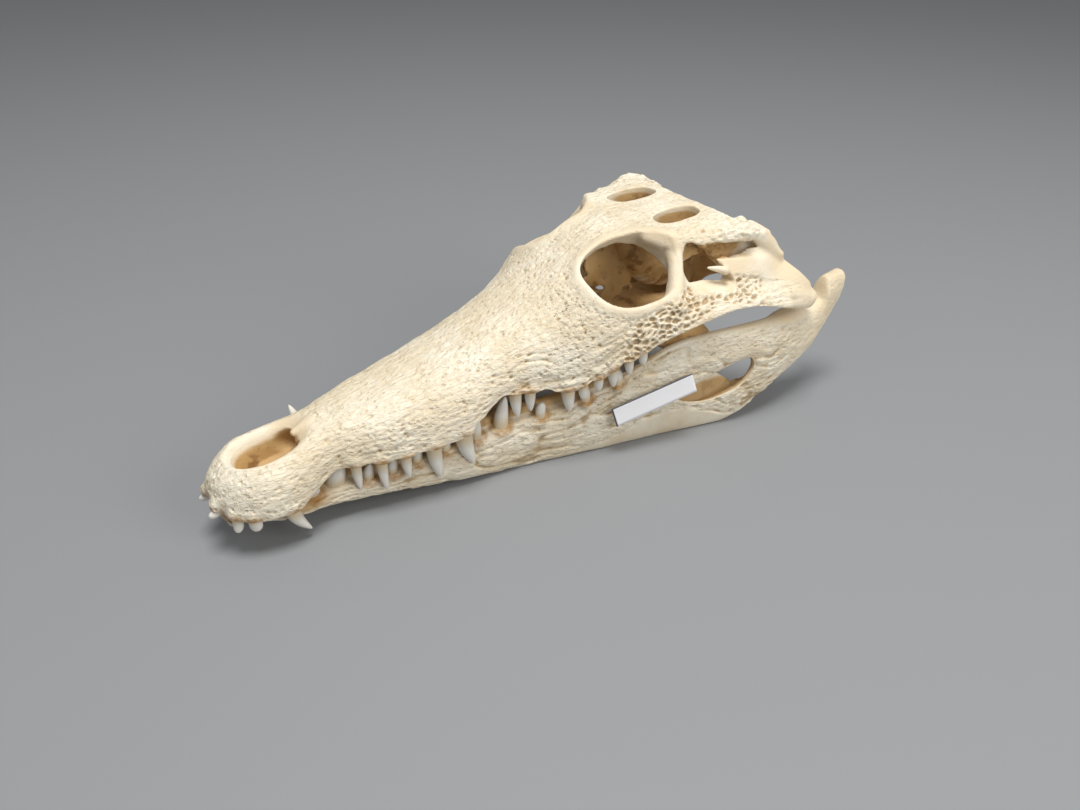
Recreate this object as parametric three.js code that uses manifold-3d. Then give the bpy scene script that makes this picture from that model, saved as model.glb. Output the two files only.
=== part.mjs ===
// The skull of a young adult crocodile with its lower jaw closed, life size, in millimetres.
// X runs back from the tip of the snout, Y across the head and Z up from the surface it rests on.
// The cranium and each half of the lower jaw are one solid each, and their teeth grow from them.
// A paper tag is glued on the outside of the left half.
import * as THREE from "three";
import { mergeVertices } from "three/addons/utils/BufferGeometryUtils.js";
import Module from "manifold-3d";

const wasm = await Module();
wasm.setup();

// ---------- driving dimensions ----------
const TABLE_REAR = 204; // tip of the snout to the rear corners of the skull table
const CRANIUM_END = 236; // tip of the snout to the back of the jaw joint
const JAW_END = 261; // tip of the snout to the end of the lower jaw
const TABLE_HEIGHT = 84; // top of the skull table over the surface the jaw rests on
const SHELL = 4.6; // thickness of the bone round the chamber between and behind the eye sockets
const PALATE_RISE = 3.6; // how far the palate arches above the tooth line
const JAW_GAP = 0.15; // each half of the lower jaw stops this far from the middle plane
const TAG = { length: 35, height: 8, thickness: 0.4, clearance: 0.3 };

// ---------- curves along the head: [distance behind the tip of the snout, value] ----------
const HALF_WIDTH = [
  [0, 4], [1.5, 7.2], [4, 11], [8, 14.2], [14, 17], [21, 17.6], [29, 16.4], [38, 13.7], [46, 15.6],
  [58, 19.4], [86, 24.2], [98, 23.4], [110, 25], [124, 29.8], [156, 40.6], [190, 47.2], [215, 49.6],
  [228, 49], [240, 45],
];
const TOOTH_LINE = [
  [0, 19], [4, 16.5], [12, 15.2], [24, 14.9], [27, 15.8], [30, 17.8], [36, 20.6], [41, 22.6], [58, 22.4],
  [84, 24.6], [90, 28], [97, 33.8], [108, 35.6], [124, 33.4], [132, 35], [160, 49], [187, 55.3], [201, 54.9],
  [218, 50], [240, 44],
];
const TOP = [
  [0, 24.5], [2, 27.6], [6, 31], [12, 33.4], [22, 34.8], [34, 36.8], [50, 40.8], [70, 45.4], [90, 51],
  [105, 57], [118, 62.8], [128, 68], [138, 74], [150, 80.5], [162, 83.5], [240, TABLE_HEIGHT],
];
// 2 is an elliptic cross-section, more is boxier and 1 is a straight slope.
const ROUNDNESS = [
  [0, 2.3], [12, 2.9], [24, 3.2], [70, 2.9], [110, 2.5], [124, 2.5], [138, 2.9], [150, 2.5], [162, 1.9],
  [174, 1.5], [186, 1.3], [214, 1.3], [228, 1.7], [240, 1.7],
];

const JAW_OUTER = [
  [2, 2.6], [4, 4.6], [8, 6.6], [15, 9.4], [25, 12], [36, 12], [46, 13.4], [88, 21], [105, 23],
  [124, 27.6], [156, 37.8], [185, 44.8], [204, 47.8], [218, 48], [232, 46.6], [246, 44.6],
  [JAW_END, 41.5],
];
const JAW_INNER = [
  [2, -3], [30, -2], [38, 2], [46, 4.5], [60, 7.6], [88, 12.2], [105, 14.6], [124, 19.6], [156, 29.6],
  [185, 35.8], [204, 37.4], [216, 35.4], [228, 31], [238, 32], [248, 34.6], [JAW_END, 34],
];
const JAW_BOTTOM = [
  [2, 11.4], [5, 10], [12, 8.8], [27, 7], [54, 5.6], [83, 2.4], [100, 0.2], [115, -0.8], [194, -0.8],
  [207, 3.6], [221, 10.6], [235, 17.6], [246, 25], [254, 33], [JAW_END, 43],
];
const JAW_TOP = [
  [2, 12.4], [8, 13], [24, 12.8], [38, 14.8], [58, 14.4], [70, 17], [92, 20.6], [124, 24.2], [138, 28.6],
  [152, 35.6], [166, 42.6], [180, 45.4], [204, 45.2], [216, 43.4], [224, 42.2], [234, 42.2], [240, 43.2],
  [245, 44], [246.6, 46], [248, 51], [249.6, 52.8], [JAW_END, 52.8],
];
const JAW_LEAN = [
  [2, 0], [90, 0.5], [130, 3], [165, 6], [190, 5], [208, 2.5], [235, 0], [JAW_END, 0],
];

// A smooth curve through the knots: cubic pieces whose slopes come from each knot's neighbours.
function at(knots, x) {
  const last = knots.length - 1;
  if (x <= knots[0][0]) return knots[0][1];
  if (x >= knots[last][0]) return knots[last][1];
  const i = knots.findIndex(([place]) => place >= x) - 1;
  const slope = (k) => {
    const a = knots[Math.max(k - 1, 0)];
    const b = knots[Math.min(k + 1, last)];
    return (b[1] - a[1]) / (b[0] - a[0]);
  };
  const span = knots[i + 1][0] - knots[i][0];
  const t = (x - knots[i][0]) / span;
  const s = 1 - t;
  const start = knots[i][1] * (1 + 2 * t) + slope(i) * span * t;
  const end = knots[i + 1][1] * (1 + 2 * s) - slope(i + 1) * span * s;
  return start * s * s + end * t * t;
}

// ---------- making solids ----------
const V = (x, y, z) => new THREE.Vector3(x, y, z);
const power = (v, n) => Math.sign(v) * Math.abs(v) ** n;

// A closed surface through rings of points, all with the same number, with a fan over each end.
function skin(rings) {
  const sides = rings[0].length;
  const points = rings.flat();
  const faces = [];
  const next = (i) => (i + 1) % sides;
  for (let r = 0; r + 1 < rings.length; r += 1)
    for (let i = 0; i < sides; i += 1) {
      const a = r * sides + i;
      const b = r * sides + next(i);
      faces.push(a, b, b + sides, a, b + sides, a + sides);
    }
  [0, rings.length - 1].forEach((r) => {
    const middle = points.length;
    points.push(rings[r].reduce((sum, p) => sum.clone().add(p)).clone().divideScalar(sides));
    for (let i = 0; i < sides; i += 1) {
      const edge = [r * sides + i, r * sides + next(i)];
      faces.push(middle, ...(r ? edge : edge.reverse()));
    }
  });
  return new THREE.BufferGeometry().setFromPoints(points).setIndex(faces);
}

// A geometry as a solid, with its faces turned outwards.
function solid(geometry) {
  const bare = new THREE.BufferGeometry().setAttribute("position", geometry.getAttribute("position"));
  if (geometry.index) bare.setIndex(geometry.index);
  const merged = mergeVertices(bare, 1e-4);
  const vertProperties = merged.attributes.position.array;
  const make = (triVerts) => new wasm.Manifold(new wasm.Mesh({ numProp: 3, vertProperties, triVerts }));
  const corners = new Uint32Array(merged.index.array);
  const made = make(corners);
  return made.volume() >= 0 ? made : make(corners.slice().reverse());
}

// A solid through oval sections, each with its centre c and half axes a and b, like roundness above.
function sweep(sections, sides = 8, roundness = 2) {
  return solid(skin(sections.map(({ c, a, b }) =>
    Array.from({ length: sides }, (_, i) => {
      const t = ((i + 0.5) / sides) * 2 * Math.PI;
      return V(...c)
        .addScaledVector(V(...a), power(Math.cos(t), 2 / roundness))
        .addScaledVector(V(...b), power(Math.sin(t), 2 / roundness));
    }))));
}

// A round rod through [x, y, z, radius] places.
function rod(places, sides = 6) {
  return sweep(places.map(([x, y, z, r], i) => {
    const [before, after] = [places[Math.max(i - 1, 0)], places[Math.min(i + 1, places.length - 1)]];
    const ahead = V(...after).sub(V(...before)).normalize();
    const b = ahead.clone().cross(Math.abs(ahead.x) < 0.8 ? V(1, 0, 0) : V(0, 1, 0)).setLength(r);
    const a = b.clone().cross(ahead);
    return { c: [x, y, z], a: a.toArray(), b: b.toArray() };
  }), sides);
}

// An outline of [x, z] corners drawn out along Y from y = near to y = far, where it lies higher by rise.
function prism(outline, near, far, rise = 0) {
  const ring = (y, lift) => outline.map(([x, z]) => V(x, y, z + lift));
  return solid(skin([ring(near, 0), ring(far, rise)]));
}

const ball = (centre, radii, columns = 10, rows = 6) =>
  solid(new THREE.SphereGeometry(1, columns, rows).scale(...radii).translate(...centre));
const mirrored = (shape) => shape.mirror([0, 1, 0]);
const both = (shape) => [shape, mirrored(shape)];
const joined = (shapes) => shapes.reduce((sum, shape) => sum.add(shape));
const cut = (shape, tools) => tools.reduce((left, tool) => left.subtract(tool), shape);

// ---------- the cranium ----------
// The outer form of the head at the stations xs, made smaller by inset, over a floor at floorOf(x, share),
// where share runs from -1 to 1 across the head.
function headForm(xs, inset, floorOf, arcSteps, floorSteps) {
  return solid(skin(xs.map((x) => {
    const w = at(HALF_WIDTH, x) - inset;
    const low = at(TOOTH_LINE, x);
    const rise = at(TOP, x) - inset - low;
    const n = at(ROUNDNESS, x);
    const arc = Array.from({ length: arcSteps + 1 }, (_, i) => {
      const t = (i / arcSteps) * Math.PI;
      return V(x, w * power(Math.cos(t), 2 / n), low + rise * power(Math.sin(t), 2 / n));
    });
    const floor = Array.from({ length: floorSteps - 1 }, (_, i) => {
      const share = -1 + (2 * (i + 1)) / floorSteps;
      return V(x, w * share, floorOf(x, share));
    });
    return [...arc, ...floor];
  })));
}

const palate = (x, share) => at(TOOTH_LINE, x) + PALATE_RISE * (1 - share * share);
const head = headForm([
  0, 1.5, 4, 8, 14, 22, 30, 35, 40, 47, 60, 74, 86, 92, 98, 108, 120, 130, 139, 149, 160, 171, 183,
  196, 210, 224, CRANIUM_END + 2,
], 0, palate, 12, 4);

const table = sweep([
  { c: [152, 0, 77], a: [0, 9, 0], b: [0, 0, 1] },
  { c: [160, 0, 79.5], a: [0, 17, 0], b: [0, 0, 2.4] },
  { c: [167, 0, 80.6], a: [0, 25, 0], b: [0, 0, 3] },
  { c: [186, 0, 81.6], a: [0, 29, 0], b: [0, 0, 3.2] },
  { c: [198, 0, 82], a: [0, 33.5, 0], b: [0, 0, 3.2] },
  { c: [TABLE_REAR, 0, 81.8], a: [0, 34.5, 0], b: [0, 0, 3.2] },
  { c: [TABLE_REAR + 4, 0, 82.2], a: [0, 24, 0], b: [0, 0, 3] },
  { c: [TABLE_REAR + 7, 0, 82], a: [0, 13, 0], b: [0, 0, 2.6] },
], 16, 5);
const tableEdge = rod([
  [167, 18, 80.4, 2], [173, 24.4, 79, 3], [182, 28.2, 79.2, 3.2], [193, 31.8, 79.8, 3.2], [203, 34, 80, 3.4],
]);
const quadrateRoof = sweep([
  { c: [183, 33, 70.5], a: [0, -2.5, 5], b: [0, 1.3, 0.6] },
  { c: [196, 36.4, 69], a: [0, -3.2, 6.4], b: [0, 1.6, 0.8] },
  { c: [208, 38, 66], a: [0, -3.3, 7], b: [0, 1.8, 0.9] },
  { c: [219, 38.6, 60], a: [0, -2.4, 6], b: [0, 2, 1] },
], 8, 2.4);
const oticWall = sweep([
  { c: [180, 24, 75.5], a: [0, 0, 6], b: [0, 1.6, 0] },
  { c: [194, 26.5, 75.5], a: [0, 0, 7], b: [0, 1.6, 0] },
  { c: [208, 29.4, 75], a: [0, 0, 7], b: [0, 1.8, 0] },
  { c: [214, 31.4, 73.5], a: [0, 0, 5], b: [0, 2, 0] },
], 8, 3);
const CHAMBER_FLOOR = 20; // below the tooth line, so that the chamber opens downwards
const chamber = headForm([128, 140, 153, 166, 180, 194, 208, 222], SHELL, () => CHAMBER_FLOOR, 6, 2);

// Everything behind the slanting rear edge of the table and the quadrates, well past the head all round.
const REAR_SLOPE = 1.05; // distance back for each millimetre down
const QUADRATE_TOP = 56;
const rearEdge = (z) => TABLE_REAR + (TABLE_HEIGHT - z) * REAR_SLOPE;
const behindHead = prism([
  [rearEdge(100), 100], [300, 100], [300, 20],
  [rearEdge(QUADRATE_TOP), 20], [rearEdge(QUADRATE_TOP), QUADRATE_TOP],
], -80, 80);
const betweenQuadrates = sweep([
  { c: [TABLE_REAR - 2, 0, 50], a: [0, 28, 0], b: [0, 0, 60] },
  { c: [CRANIUM_END + 9, 0, 50], a: [0, 33, 0], b: [0, 0, 60] },
], 8, 8);

const orbit = sweep([
  { c: [151.6, 13.5, 56.4], a: [15, 0, 2], b: [0, 9.6, -7.4] },
  { c: [154, 23.2, 70.8], a: [16, 0, 3], b: [0, 11.4, -8.4] },
  { c: [156.4, 37.6, 91.4], a: [17.4, 0, 4], b: [0, 13.2, -9.6] },
], 14, 2.4);
const upperTempleWindow = sweep([
  { c: [185, 13, 60], a: [9, 1.5, 0], b: [0, 5, 0] },
  { c: [185.6, 13.6, 90], a: [10.2, 2, 0], b: [0, 5.8, 0] },
], 10, 2.6);
const lowerTempleWindow = prism([[174, 66.5], [192.5, 65.5], [193.5, 68], [183, 80], [174, 80]], 24, 46, -4);
const nostril = sweep([
  { c: [22.5, 0, 24], a: [9, 0, 0], b: [0, 6, 0] },
  { c: [21, 0, 31], a: [11.5, 0, 0], b: [0, 8, 0] },
  { c: [20.5, 0, 36], a: [16, 0, 0], b: [0, 12.5, 0] },
], 12, 2.2);
const palateWindow = ball([126, 15.5, 36], [18, 7.5, 9]);

const shell = cut(joined([head, table, ...[tableEdge, quadrateRoof].flatMap(both)]), [
  chamber, behindHead, betweenQuadrates, nostril,
  ...[orbit, upperTempleWindow, lowerTempleWindow, palateWindow].flatMap(both),
]);

const postorbitalBar = rod([
  [174.5, 24, 78.8, 3.4], [172.6, 28, 75, 2.9], [170.6, 31.2, 70.6, 2.8], [168.8, 34.2, 65.5, 3],
  [167, 37.2, 61, 4.2],
]);
const jointBlock = sweep([
  { c: [220, 40, 53], a: [0, 8.5, 0], b: [0, 0, 5] },
  { c: [229, 40, 50], a: [0, 8.8, 0], b: [0, 0, 5] },
  { c: [CRANIUM_END, 40, 49.5], a: [0, 7.5, 0], b: [0, 0, 3.4] },
], 10, 2.6);
const braincase = sweep([
  { c: [166, 0, 77], a: [0, 5, 0], b: [0, 0, 3] },
  { c: [176, 0, 70], a: [0, 7, 0], b: [0, 0, 10] },
  { c: [188, 0, 66], a: [0, 9.5, 0], b: [0, 0, 16] },
  { c: [203, 0, 66], a: [0, 13, 0], b: [0, 0, 15] },
], 10, 2.4);
const paroccipital = sweep([
  { c: [199, 0, 72.5], a: [0, 0, 9], b: [3, 0, 0] },
  { c: [203, 16, 72], a: [0, 0, 8], b: [3, 0, 0] },
  { c: [211, 29, 69.5], a: [0, 0, 6.5], b: [3, 0, 0] },
  { c: [221, 36, 66], a: [0, 1, 4], b: [2.8, 0, 0] },
], 8, 2.4);
const exoccipital = sweep([
  { c: [202.4, 5, 46], a: [0, 4.4, 0], b: [2.2, 0, 0] },
  { c: [203, 7, 52], a: [0.4, 6.4, 0], b: [2.2, 0, 0] },
  { c: [203.4, 9, 56], a: [1, 8, 0], b: [2.2, 0, 0] },
  { c: [204.4, 12.5, 58.4], a: [2, 12.5, 0], b: [2.2, 0, 0] },
  { c: [205.6, 14.5, 62], a: [3, 14.5, 0], b: [2.2, 0, 0] },
  { c: [205.6, 14.5, 76], a: [3, 14.5, 0], b: [2.2, 0, 0] },
], 10, 2.6);
const squamosalHorn = sweep([
  { c: [200, 30, 81], a: [0, 4, 0], b: [0, 0, 3] },
  { c: [208, 33, 79], a: [0, 3, 0], b: [1, 0, 3] },
  { c: [215, 35, 73], a: [0, 2.4, 0], b: [2, 0, 3] },
  { c: [220, 35.2, 67], a: [0, 2.2, 0], b: [2.4, 0, 1.6] },
], 8, 2.4);
const occipitalCondyle = ball([207, 0, 61], [5.4, 5, 4.8]);
const basioccipital = sweep([
  { c: [200, 0, 62], a: [0, 9, 0], b: [3.5, 0, 0] },
  { c: [199, 0, 50], a: [0, 11, 0], b: [3, 0, 0] },
  { c: [197, 0, 40], a: [0, 8, 0], b: [2.4, 0, 0] },
], 8, 2.6);
const palatineBar = sweep([
  { c: [100, 0, 38.5], a: [0, 8.5, 0], b: [0, 0, 2.5] },
  { c: [122, 0, 40], a: [0, 7.2, 0], b: [0, 0, 4] },
  { c: [150, 0, 42], a: [0, 6.5, 0], b: [0, 0, 4.4] },
  { c: [168, 0, 43], a: [0, 8, 0], b: [0, 0, 4] },
  { c: [184, 0, 44], a: [0, 12, 0], b: [0, 0, 3.4] },
  { c: [199, 0, 44], a: [0, 10, 0], b: [0, 0, 4] },
], 8, 2.6);
const wing = sweep([
  { c: [184, 2, 43.5], a: [15, 0, 0], b: [0, 0.4, 2.2] },
  { c: [185, 14, 41.5], a: [12.5, 0, 0], b: [0, 0.6, 1.7] },
  { c: [186, 24.5, 36.5], a: [12.5, 0, 0], b: [0, 0.9, 1.6] },
  { c: [187, 30.5, 31], a: [12, 0, -2], b: [0, 1.4, 2] },
], 8, 2.6);
const ectopterygoid = rod([[184, 29, 33, 3], [174, 28.6, 39, 3], [164, 31, 46, 3.2], [154, 35.5, 51, 4]]);
const orbitPillar = rod([[135, 10, 66, 3], [134, 8, 56, 2.2], [133, 6.5, 42, 3]]);

// ---------- teeth ----------
// A curved cone, its root buried in the bone. Its tip lies back by lean[0] and out by lean[1] from its root.
// grown makes it larger all round, as the socket that it stands clear in.
function tooth([x, y, z], length, radius, lean, grown = 0) {
  const steps = [[-0.4, 0.9], [0, 1], [0.5, 0.7], [1, 0.14]]; // [share of crown length, share of radius]
  const drop = length + Math.sign(length) * grown;
  return sweep(steps.map(([t, size]) => ({
    c: [x + lean[0] * t * Math.abs(t), y + lean[1] * t * Math.abs(t), z - drop * t],
    a: [radius * size + grown, 0, 0],
    b: [0, radius * size * 0.85 + grown, 0],
  })), 5);
}

// [place along the jaw, crown length, radius, lean back, lean out] of each tooth
const UPPER_TEETH = [
  [1.8, 1.8, 1.6, -3.8, 0.4], [5.8, 5.8, 1.8, -0.8, 1], [10.5, 5, 2.2, 0, 1], [22.5, 11.5, 2.6, 5.4, 0.5],
  [46.8, 11, 1.9, 0.4, 1], [55.2, 12.5, 2, 0.5, 1], [63.5, 10, 2, 0.5, 1], [74, 14.5, 2.9, 1.5, 1],
  [85.5, 14.5, 3.3, 3, 1.5], [107, 11.5, 2.4, 0.5, 1], [112.5, 9.5, 2.2, 0, 0.5],
  [126.5, 10.5, 2.8, 0.5, 1], [131.5, 7, 2, 0, 0.5], [137, 6.5, 2, 0, 0.5], [142.3, 9, 2.3, 0.5, 0.5],
  [148, 7.5, 2, 0.4, 0.5], [153, 6.5, 1.9, 0.2, 0.5],
];
const LOWER_TEETH = [
  [6, 3.6, 1.4, -0.5, -0.5], [13, 4, 1.4, -1, 0.5], [21, 4, 1.4, 0, 0], [31.6, 3.6, 2.4, 0.5, 2.6],
  [51.5, 7.4, 2.1, 0.5, 1.6], [60, 7, 2.1, 0.4, 1.4], [69.1, 7.2, 2.1, 0, 1.4], [79.6, 7.6, 2.1, 0.2, 1.4],
  [91.5, 9, 2.1, 0.5, 0.5], [102, 13, 2.9, 1.5, 1], [117, 6, 2, 0, 0.5], [134, 6, 2, 0, 0],
  [146, 6, 1.9, 0, 0],
];
// The fourth lower tooth stands in the notch of the snout. The right one is whole, and the left one is worn.
const RIGHT_NOTCH_TOOTH = [39, 22.5, 3, -3.8, 5.8];
const LEFT_NOTCH_TOOTH = [40.6, 8.6, 3.7, 2.8, 1];
const TOOTH_CLEARANCE = 0.4;
const ROOT_INSET = 1; // from the outer face of the bone to the near side of a root

const upperTooth = (grown) => ([x, length, radius, ...lean]) =>
  tooth([x, at(HALF_WIDTH, x) - radius - ROOT_INSET, at(TOOTH_LINE, x) + 0.5], length, radius, lean, grown);
const lowerTooth = (grown) => ([x, length, radius, ...lean]) =>
  tooth([x, at(JAW_OUTER, x) - radius - ROOT_INSET, at(JAW_TOP, x) - 0.8], -length, radius, lean, grown);

const NOTCH_OPENING = 3.5; // how much wider to the side the right one's notch is than its tooth
const rightNotch = lowerTooth(TOOTH_CLEARANCE)(RIGHT_NOTCH_TOOTH);
const notches = [
  rightNotch,
  rightNotch.translate([0, NOTCH_OPENING, 0]),
  mirrored(lowerTooth(TOOTH_CLEARANCE)(LEFT_NOTCH_TOOTH)),
];
const cranium = joined([
  cut(shell, notches), braincase, occipitalCondyle, basioccipital, palatineBar,
  ...[
    postorbitalBar, jointBlock, oticWall, paroccipital, exoccipital, squamosalHorn, wing, ectopterygoid,
    orbitPillar,
  ].flatMap(both),
  ...UPPER_TEETH.map(upperTooth(0)).flatMap(both),
]);

// ---------- the lower jaw ----------
const JAW_BOXINESS = 0.75; // 1 is an elliptic cross-section and less is boxier
const JAW_SIDES = 10; // of each cross-section
const JAW_SECTIONS = [
  2, 3, 5, 9, 15, 25, 36, 50, 68, 86, 98, 112, 126, 140, 154, 168, 182, 194, 204, 215, 226, 236, 241,
  244, 246.5, 249, 252, 257, JAW_END,
];
const jawForm = solid(skin(
  JAW_SECTIONS.map((x) => {
    const curves = [JAW_INNER, JAW_OUTER, JAW_BOTTOM, JAW_TOP];
    const [inner, outer, low, high] = curves.map((curve) => at(curve, x));
    return Array.from({ length: JAW_SIDES }, (_, i) => {
      const t = ((i + 0.5) / JAW_SIDES) * 2 * Math.PI;
      const up = power(Math.sin(t), JAW_BOXINESS);
      const out = power(Math.cos(t), JAW_BOXINESS);
      const y = (inner + outer) / 2 + ((outer - inner) / 2) * out + (at(JAW_LEAN, x) / 2) * (up - 1);
      return V(x, Math.max(y, JAW_GAP), (low + high) / 2 + ((high - low) / 2) * up);
    });
  }),
));

const jawWindow = prism([
  [172, 20], [181, 24.6], [191, 29], [201, 31.8], [205.4, 29], [205, 23.5], [199, 17.8], [188, 14.4],
  [178, 15.8],
], 37.5, 60);
const jawHollow = sweep([
  { c: [160, 31, 24], a: [0, 1.4, 0], b: [0, 1, 5] },
  { c: [172, 35, 24], a: [0, 2.2, 0], b: [0, 2, 11] },
  { c: [186, 38, 26], a: [0, 2.8, 0], b: [0, 2, 13] },
  { c: [200, 40.5, 29], a: [0, 2.6, 0], b: [0, 1, 12] },
  { c: [210, 40.6, 26], a: [0, 2.3, 0], b: [0, 1, 9] },
  { c: [219, 40.4, 25], a: [0, 1.8, 0], b: [0, 0, 4] },
], 8, 2.6);
const jawInnerMouth = prism([
  [181, 34], [186, 40], [199, 42], [210, 36], [217, 24], [215.4, 16], [209, 13.4], [201, 15.4],
  [198, 23], [188, 29],
], 20, 39.4);
const underTable = solid(new THREE.BoxGeometry(400, 200, 20).translate(130, 0, -10));

// The tag on the outer face of the jaw turns out towards the rear, rises with the jaw and leans in below.
const tagPlace = new THREE.Matrix4().compose(
  V(159.4, -38.8, 22.9),
  new THREE.Quaternion().setFromEuler(new THREE.Euler(-0.2, -0.27, -0.25, "ZYX")),
  V(1, 1, 1),
);
const tagBox = (grow) => {
  const [length, thickness, height] = [TAG.length, TAG.thickness, TAG.height].map((side) => side + 2 * grow);
  return new THREE.BoxGeometry(length, thickness, height).applyMatrix4(tagPlace);
};

const BIG_TOOTH = 2.5; // an upper tooth of more than this radius presses a groove into the lower jaw
const bigTeeth = UPPER_TEETH.filter(([, , radius]) => radius > BIG_TOOTH);
const upperSockets = bigTeeth.map(upperTooth(TOOTH_CLEARANCE));
const jawBone = cut(jawForm, [jawWindow, jawHollow, jawInnerMouth, underTable, ...upperSockets]);
const jawHalf = (notchTooth) => joined([jawBone, ...[...LOWER_TEETH, notchTooth].map(lowerTooth(0))]);
const rightJaw = jawHalf(RIGHT_NOTCH_TOOTH);
const leftJaw = mirrored(jawHalf(LEFT_NOTCH_TOOTH)).subtract(solid(tagBox(TAG.clearance)));

// ---------- the group ----------
function mesh(name, made, color, roughness) {
  const { numProp, vertProperties, triVerts, numVert } = made.getMesh();
  const places = new Float32Array(numVert * 3);
  for (let i = 0; i < numVert; i += 1)
    places.set(vertProperties.subarray(i * numProp, i * numProp + 3), i * 3);
  const geometry = new THREE.BufferGeometry()
    .setAttribute("position", new THREE.BufferAttribute(places, 3))
    .setIndex(new THREE.BufferAttribute(triVerts, 1));
  const named = new THREE.Mesh(geometry, new THREE.MeshStandardMaterial({ color, roughness, metalness: 0 }));
  named.name = name;
  return named;
}

const BONE = "#e6dcc2";
const PAPER = "#e9e9ee";
const skull = new THREE.Group();
skull.add(mesh("cranium", cranium, BONE, 0.6));
skull.add(mesh("right_lower_jaw", rightJaw, BONE, 0.6));
skull.add(mesh("left_lower_jaw", leftJaw, BONE, 0.6));
skull.add(mesh("paper_tag", solid(tagBox(0)), PAPER, 0.8));

// The origin is under the middle of the whole skull.
const extent = new THREE.Box3().setFromObject(skull);
skull.position.set(-(extent.min.x + extent.max.x) / 2, 0, -extent.min.z);

export default skull;
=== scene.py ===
"""A bleached crocodile skull with its jaw closed: the finished bone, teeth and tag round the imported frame."""

import bpy
import numpy as np
from mathutils import Matrix, Vector


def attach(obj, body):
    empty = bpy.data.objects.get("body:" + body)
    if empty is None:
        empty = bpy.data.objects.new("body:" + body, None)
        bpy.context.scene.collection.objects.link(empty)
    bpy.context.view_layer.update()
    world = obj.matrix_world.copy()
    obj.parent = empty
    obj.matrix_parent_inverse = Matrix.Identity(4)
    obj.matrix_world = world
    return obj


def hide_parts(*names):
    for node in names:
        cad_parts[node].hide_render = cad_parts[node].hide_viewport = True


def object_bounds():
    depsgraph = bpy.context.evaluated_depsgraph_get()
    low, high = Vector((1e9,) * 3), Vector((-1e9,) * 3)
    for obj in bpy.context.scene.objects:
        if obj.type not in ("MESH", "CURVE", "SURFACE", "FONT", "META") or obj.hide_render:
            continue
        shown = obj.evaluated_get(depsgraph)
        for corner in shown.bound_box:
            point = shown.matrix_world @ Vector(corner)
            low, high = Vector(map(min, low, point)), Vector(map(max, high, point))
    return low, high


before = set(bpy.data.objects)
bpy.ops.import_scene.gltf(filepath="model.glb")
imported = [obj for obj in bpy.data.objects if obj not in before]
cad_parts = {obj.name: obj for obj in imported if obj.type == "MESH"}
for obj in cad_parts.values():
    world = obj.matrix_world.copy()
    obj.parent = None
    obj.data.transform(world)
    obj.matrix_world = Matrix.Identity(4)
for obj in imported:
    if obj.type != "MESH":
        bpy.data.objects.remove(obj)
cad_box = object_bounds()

# Shapes are worked out in millimetres in the skull's own directions: x runs back from the tip of the snout,
# y across to its right and z up from the floor. The left side is the mirror of the right one.
STEP = 0.48  # spacing of the grid on which the bone is worked out
AIR = 60.0  # the field's value far from any bone
TABLE_REAR = 204
CRANIUM_END = 236
JAW_END = 261
TABLE_HEIGHT = 84
SHELL = 4.6  # thickness of the bone round the chamber behind the eyes
PALATE_RISE = 3.6
JAW_GAP = 0.15  # from the middle to each half of the lower jaw
TIP = np.array([cad_box[1].x * 1000 - JAW_END, 0, 0])  # where the tip of the snout lies in the frame

# ---------- curves along the head: (distance behind the tip of the snout, value) ----------
HALF_WIDTH = [
    (0, 4), (1.5, 7.2), (4, 11), (8, 14.2), (14, 17), (21, 17.6), (29, 16.4), (38, 13.7), (46, 15.6),
    (58, 19.4), (86, 24.2), (98, 23.4), (110, 25), (124, 29.8), (156, 40.6), (190, 47.2), (215, 49.6),
    (228, 49), (240, 45),
]
TOOTH_LINE = [
    (0, 19), (4, 16.5), (12, 15.2), (24, 14.9), (27, 15.8), (30, 17.8), (36, 20.6), (41, 22.6),
    (58, 22.4), (84, 24.6), (90, 28), (97, 33.8), (108, 35.6), (124, 33.4), (132, 35), (160, 49),
    (187, 55.3), (201, 54.9), (218, 50), (240, 44),
]
TOP = [
    (0, 24.5), (2, 27.6), (6, 31), (12, 33.4), (22, 34.8), (34, 36.8), (50, 40.8), (70, 45.4), (90, 51),
    (105, 57), (118, 62.8), (128, 68), (138, 74), (150, 80.5), (162, 83.5), (240, TABLE_HEIGHT),
]
ROUNDNESS = [
    (0, 2.3), (12, 2.9), (24, 3.2), (70, 2.9), (110, 2.5), (124, 2.5), (138, 2.9), (150, 2.5), (162, 1.9),
    (174, 1.5), (186, 1.3), (214, 1.3), (228, 1.7), (240, 1.7),
]
JAW_OUTER = [
    (2, 2.6), (4, 4.6), (8, 6.6), (15, 9.4), (25, 12), (36, 12), (46, 13.4), (88, 21), (105, 23),
    (124, 27.6), (156, 37.8), (185, 44.8), (204, 47.8), (218, 48), (232, 46.6), (246, 44.6),
    (JAW_END, 41.5),
]
JAW_INNER = [
    (2, -3), (30, -2), (38, 2), (46, 4.5), (60, 7.6), (88, 12.2), (105, 14.6), (124, 19.6), (156, 29.6),
    (185, 35.8), (204, 37.4), (216, 35.4), (228, 31), (238, 32), (248, 34.6), (JAW_END, 34),
]
JAW_BOTTOM = [
    (2, 11.4), (5, 10), (12, 8.8), (27, 7), (54, 5.6), (83, 2.4), (100, 0.2), (115, -0.8), (194, -0.8),
    (207, 3.6), (221, 10.6), (235, 17.6), (246, 25), (254, 33), (JAW_END, 43),
]
JAW_TOP = [
    (2, 12.4), (8, 13), (24, 12.8), (38, 14.8), (58, 14.4), (70, 17), (92, 20.6), (124, 24.2),
    (138, 28.6), (152, 35.6), (166, 42.6), (180, 45.4), (204, 45.2), (216, 43.4), (224, 42.2),
    (234, 42.2), (240, 43.2), (245, 44), (246.6, 46), (248, 51), (249.6, 52.8), (JAW_END, 52.8),
]
JAW_LEAN = [(2, 0), (90, 0.5), (130, 3), (165, 6), (190, 5), (208, 2.5), (235, 0), (JAW_END, 0)]

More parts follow.
